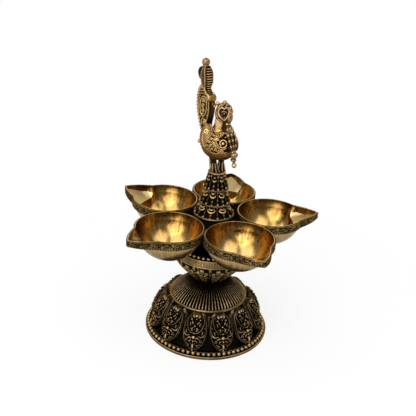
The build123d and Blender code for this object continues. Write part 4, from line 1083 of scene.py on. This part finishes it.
# Level, back and front of the tail's plate and of the curl above it
PLATE_OUTLINE = [
    (164.0, -15.6, -10.6), (167.0, -17.2, -11.4), (171.0, -19.0, -11.3), (176.0, -20.8, -10.3), (182.0, -22.2, -9.4),
    (188.4, -22.7, -10.0), (192.0, -22.4, -11.6), (196.0, -21.1, -14.6), (199.8, -18.7, -16.6),
]
CURL_OUTLINE = [
    (194.8, -17.6, -15.2), (198.0, -18.4, -14.5), (202.0, -19.4, -14.1), (206.0, -19.9, -14.4), (209.5, -19.9, -15.3),
    (212.6, -19.4, -16.5),
]
BEAD_STEP, RUNG_STEP = 2.5, 1.75


def no_rungs(z):
    return 0 * z


def rungs(z):
    return 0.95 * np.clip(np.sin((z - 195.0) * TAU / RUNG_STEP), 0, 1)**0.6


def tail():
    """The plate with its leaves, and the curl with the beads of the back edge and the top ball."""
    plate, edge = blade(PLATE_OUTLINE, 3.2, 150, 52, tail_strokes(), no_rungs, 0.42)
    line = smooth_line(edge[8:-6], 400)
    run = run_of(line)
    beads = []
    for d in np.arange(0.6, run[-1], BEAD_STEP):
        x, z = [np.interp(d, run, axis) for axis in line.T]
        beads += [ball(1.3, x - 0.35, y, z, 12, 0.62) for y in (-1.9, 1.9)]
    spine = bars(0.45, 0.6, [(-16.9, 196.0), (-16.9, 202.0), (-17.4, 207.0), (-17.9, 211.5)])
    curl, _ = blade(CURL_OUTLINE, 4.1, 130, 26, spine, rungs, 0.0)
    parts = [plate]
    hook = [(-19.4, 1.6, 212.0), (-22.3, 1.8, 210.2), (-23.0, 1.9, 206.8), (-21.6, 1.8, 203.4), (-20.0, 1.6, 202.6)]
    scroll = [
        (-14.6, 2.9, 194.0), (-12.0, 3.0, 193.0), (-10.2, 3.0, 190.8), (-11.4, 3.0, 188.8), (-13.0, 3.0, 189.6),
        (-12.4, 3.0, 191.0),
    ]
    for side in (-1, 1):
        flip = np.array([1, side, 1])
        parts += [
            limb(hook * flip, [0.5, 1.1, 1.25, 1.0, 0.5], 22, 10, 0.16),
            ball(0.9, -20.4, 2.4 * side, 206.6, 10, 0.45),
            limb(scroll * flip, [0.6, 0.9, 0.8, 0.7, 0.5, 0.4], 30, 8, 0.7),
        ]
    spur = [(-10.0, 0, 186.6), (-8.0, 0, 186.2), (-6.2, 0, 187.0), (-4.6, 0, 188.2)]
    parts += [
        tube([(-11.6, y, 190.6) for y in np.linspace(-3.1, 3.1, 7)], 2.7, 20, 0.5),
        limb(spur, [1.1, 0.8, 0.8, 0.9], 12, 10, 0.5), ball(1.55, -4.2, 0, 188.6, 12, 0.7),
        ball(1.0, -7.2, 0, 185.6, 10, 0.6),
    ]
    top = [ball(2.95, -19.0, 0, 215.2, 20, 0.64), shifted(roll(1.7, 0.0, 0.7, 36, 0.7), -19.0, 0, 212.7)]
    return together(parts), together([curl] + beads + top)


# Bead strand that hangs from the beak
def strand_place(t, k):
    """A place on string k, from its top to its foot."""
    bow = math.sin(math.pi * t)
    return np.array([7.9 + 7.7 * t + 1.1 * bow, k * (1.1 + 2.2 * bow), 176.4 - 19.2 * t + 0.6 * bow])


def strand():
    forms = []
    for k in (-1, 0, 1):
        for n in range(11):
            size, relief = ((1.0, 0.64), (0.7, 0.36))[n % 2]
            forms.append(ball(size, *strand_place(n / 10, k), 10, relief, 1.4))
        forms.append(tube([strand_place(t, k) for t in np.linspace(0, 1, 14)], 0.45, 8, 0.1, up=(0, 1, 0)))
    forms.append(tube([(7.9, y, 176.6) for y in np.linspace(-1.6, 1.6, 5)], 1.15, 10, 0.75))
    for x, z, radius in [(16.3, 155.6, 3.0), (16.0, 153.6, 2.0), (16.1, 151.6, 2.3), (16.7, 149.8, 1.2)]:
        forms.append(ball(radius, x, 0, z, 18, 0.6, 0.62))
    forms.append(shifted(roll(1.9, 0.0, 0.55, 36, 0.7), 16.2, 0, 154.3))
    forms.append(ball(1.9, 17.3, 0, 147.6, 14, 0.9))
    return together(forms)


# Camera and studio, in metres
CAMERA_PLACE, CAMERA_AIM, CAMERA_ROLL = Vector((-0.2182, -0.4319, 0.3307)), Vector((0, 0, 0.09)), 4.22
BACKDROP = (-CAMERA_PLACE.xy).normalized()
SKY_ABOVE, SKY_LIGHT = 0.27, 0.35
LAMP_AIM = Vector((0, 0, 0.1))
WHITE = (1, 1, 1, 1)


def sky():
    """White to the camera; metal mirrors a studio that is white round the horizon and dimmer above it."""
    world = bpy.data.worlds.new("studio")
    bpy.context.scene.world = world
    world.use_nodes = True
    g = Graph(world.node_tree)
    back = g.nodes["Background"]
    back.inputs["Color"].default_value = WHITE
    ray = g.add("LightPath").outputs
    shiny = g.math("MAXIMUM", ray["Is Glossy Ray"], ray["Is Transmission Ray"])
    place = g.parts(g.add("TexCoord").outputs["Generated"])
    far = g.math("MULTIPLY", place["X"], BACKDROP[0])
    far = g.math("MULTIPLY_ADD", place["Y"], BACKDROP[1], far)
    edge = g.math("MULTIPLY_ADD", far, -0.5, place["Z"])
    mirrored = g.spread(edge, 0.05, 0.4, 1.0, SKY_ABOVE)
    other = g.math("MULTIPLY_ADD", shiny, -SKY_LIGHT, SKY_LIGHT)
    strength = g.math("MULTIPLY_ADD", shiny, mirrored, other)
    g.link(g.math("MAXIMUM", strength, ray["Is Camera Ray"]), back.inputs["Strength"])


def stage_floor():
    """A white floor, a little darker close to the foot."""
    bpy.ops.mesh.primitive_plane_add(size=6.0, location=(0, 0, 0))
    floor = bpy.context.object
    floor.name = "floor"
    material, g, shader = new_material("floor_white")
    shader.inputs["Base Color"].default_value = (0.9, 0.9, 0.9, 1)
    shader.inputs["Roughness"].default_value = 0.9
    shader.inputs["Specular IOR Level"].default_value = 0.0
    ray = g.add("LightPath").outputs
    distance = g.add("VectorMath")
    distance.operation = "LENGTH"
    g.link(g.here(), distance.inputs[0])
    away = distance.outputs["Value"]
    seen = g.math("MULTIPLY", ray["Is Camera Ray"], g.spread(away, 0.06, 0.3, 0.8, 1.0))
    shiny = g.math("MULTIPLY", ray["Is Glossy Ray"], g.spread(away, 0.06, 0.3, 0.3, 1.0))
    mix = g.add("MixShader")
    g.link(g.math("MAXIMUM", seen, shiny), mix.inputs["Fac"])
    g.link(shader.outputs["BSDF"], mix.inputs[1])
    g.link(g.add("Emission", Color=WHITE).outputs["Emission"], mix.inputs[2])
    g.link(mix.outputs["Shader"], g.nodes["Material Output"].inputs["Surface"])
    floor.data.materials.append(material)


def soft_light(name, right, back, height, size, power):
    """A soft lamp, placed to the right of and behind the object as the camera sees it."""
    light = bpy.data.lights.new(name, "AREA")
    light.shape = "RECTANGLE"
    light.size, light.size_y = size
    light.energy = power
    thing = bpy.data.objects.new(name, light)
    bpy.context.scene.collection.objects.link(thing)
    x = BACKDROP.y * right + BACKDROP.x * back
    y = -BACKDROP.x * right + BACKDROP.y * back
    thing.location = (x, y, height)
    away = (LAMP_AIM - thing.location).normalized()
    side = away.cross(Vector((BACKDROP.x, BACKDROP.y, 0))).normalized()
    thing.rotation_euler = Matrix((side, away.cross(side) * -1, -away)).transposed().to_euler()


def studio():
    scene = bpy.context.scene
    scene.view_settings.view_transform = "Standard"
    sky()
    stage_floor()
    soft_light("strip_left", -0.42, -0.12, 0.92, (0.66, 1.1), 4.0)
    soft_light("strip_right", 0.42, -0.12, 0.92, (0.66, 1.1), 4.0)
    soft_light("front", -0.35, -0.8, 0.6, (1.0, 0.8), 6.5)
    lens = bpy.data.cameras.new("camera")
    lens.sensor_width = 36.0
    lens.lens = 59.94
    lens.shift_x, lens.shift_y = -0.0113, 0.0471
    camera = bpy.data.objects.new("camera", lens)
    scene.collection.objects.link(camera)
    aim = (CAMERA_AIM - CAMERA_PLACE).to_track_quat("-Z", "Y").to_matrix().to_4x4()
    tip = Matrix.Rotation(math.radians(CAMERA_ROLL), 4, "Z")
    camera.matrix_world = Matrix.Translation(CAMERA_PLACE) @ aim @ tip
    scene.camera = camera


# Make the lamp
piece("foot", foot_rim(), ANTIQUE, "lotus_base", crease=50)
one_petal = petal()
for k in range(PETAL_COUNT):
    piece(f"petal_{k + 1}", turned(one_petal, PETAL_TURN + 360 / PETAL_COUNT * k), ANTIQUE, "lotus_base")
piece("petal_darts", ring_of(PETAL_COUNT, dart(), PETAL_TURN + 180 / PETAL_COUNT), ANTIQUE, "lotus_base")
foot_bead = ball(BEAD_RADIUS, BEAD_RING, 0, LIP_HEIGHT + BEAD_RADIUS - 0.25, relief=0.7)
piece("foot_bead_row", ring_of(BEAD_COUNT, foot_bead), WORN, "foot_beads")
piece("dome", dome(), ANTIQUE, "fluted_dome", crease=60)
dome_ring = roll(DOME_RADIUS + 0.55, DOME_FOOT + 0.55, 1.1, relief=0.65)
piece("dome_ring", dome_ring, WORN, "fluted_dome")
piece("cup", cup(), OLIVE, "lotus_cup", crease=60)
cup_bead = ball(CUP_BEAD_RADIUS, CUP_BEAD_RING, 0, CUP_TOP + CUP_BEAD_RADIUS - 0.1)
piece("cup_bead_row", ring_of(CUP_BEAD_COUNT, cup_bead), WORN, "cup_beads")

band = bowl_band()
for k, spout_shade in enumerate(SPOUT_SHADES):
    turn = Matrix.Rotation(math.radians(-90 + 360 / BOWL_COUNT * k), 4, "Z")
    place = turn @ Matrix.Translation((ORBIT, 0, RIM_LEVEL))
    node = f"bowl_{k + 1}"
    shell = piece(f"{node}_shell", moved(bowl_shell(spout_shade), place), POLISHED, node, 45)
    run_marks(shell.data, place)
    piece(f"{node}_band", moved(band, place), OLIVE, node)

piece("column_core", column_core(), DARK, "tiered_column", crease=50)
piece("column_rings", column_rings(), ANTIQUE, "tiered_column")
crescents, stems = column_motifs()
piece("column_crescents", crescents, WORN, "tiered_column")
piece("column_stems", stems, ANTIQUE, "tiered_column")


def bird_piece(name, form, material, node="peacock_body", crease=None):
    piece(name, turned(form, BIRD_TURN), material, node, crease)


bird_piece("bird_body", bird_body(), BIRD)
bird_piece("bird_wings", together([wing(-1), wing(1)]), BIRD)
bird_piece("bird_neck", bird_neck(), BIRD)
bird_piece("bird_head", bird_head(), COPPER)
bird_piece("bird_legs", bird_legs(), ANTIQUE)
bird_piece("bird_knob", bird_knob(), COPPER)
blades, tail_beads = tail()
bird_piece("tail_blades", blades, BIRD, "peacock_tail", crease=60)
bird_piece("tail_beads", tail_beads, COPPER, "peacock_tail", crease=60)
bird_piece("bird_strand", strand(), COPPER, "bead_strand")

# Solids left showing get the same finishes
# The bowl carrier and clamp plate get dark brass: their patina, and painted shade where they sit under the bowls
FINISHES = {"bowl_carrier": DARK, "clamp_plate": DARK, "tie_rod": STEEL, "tie_nut": STEEL, "finial_stud": STEEL}
for name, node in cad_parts.items():
    node.data.materials.clear()
    node.data.materials.append(FINISHES.get(name, ANTIQUE))

studio()
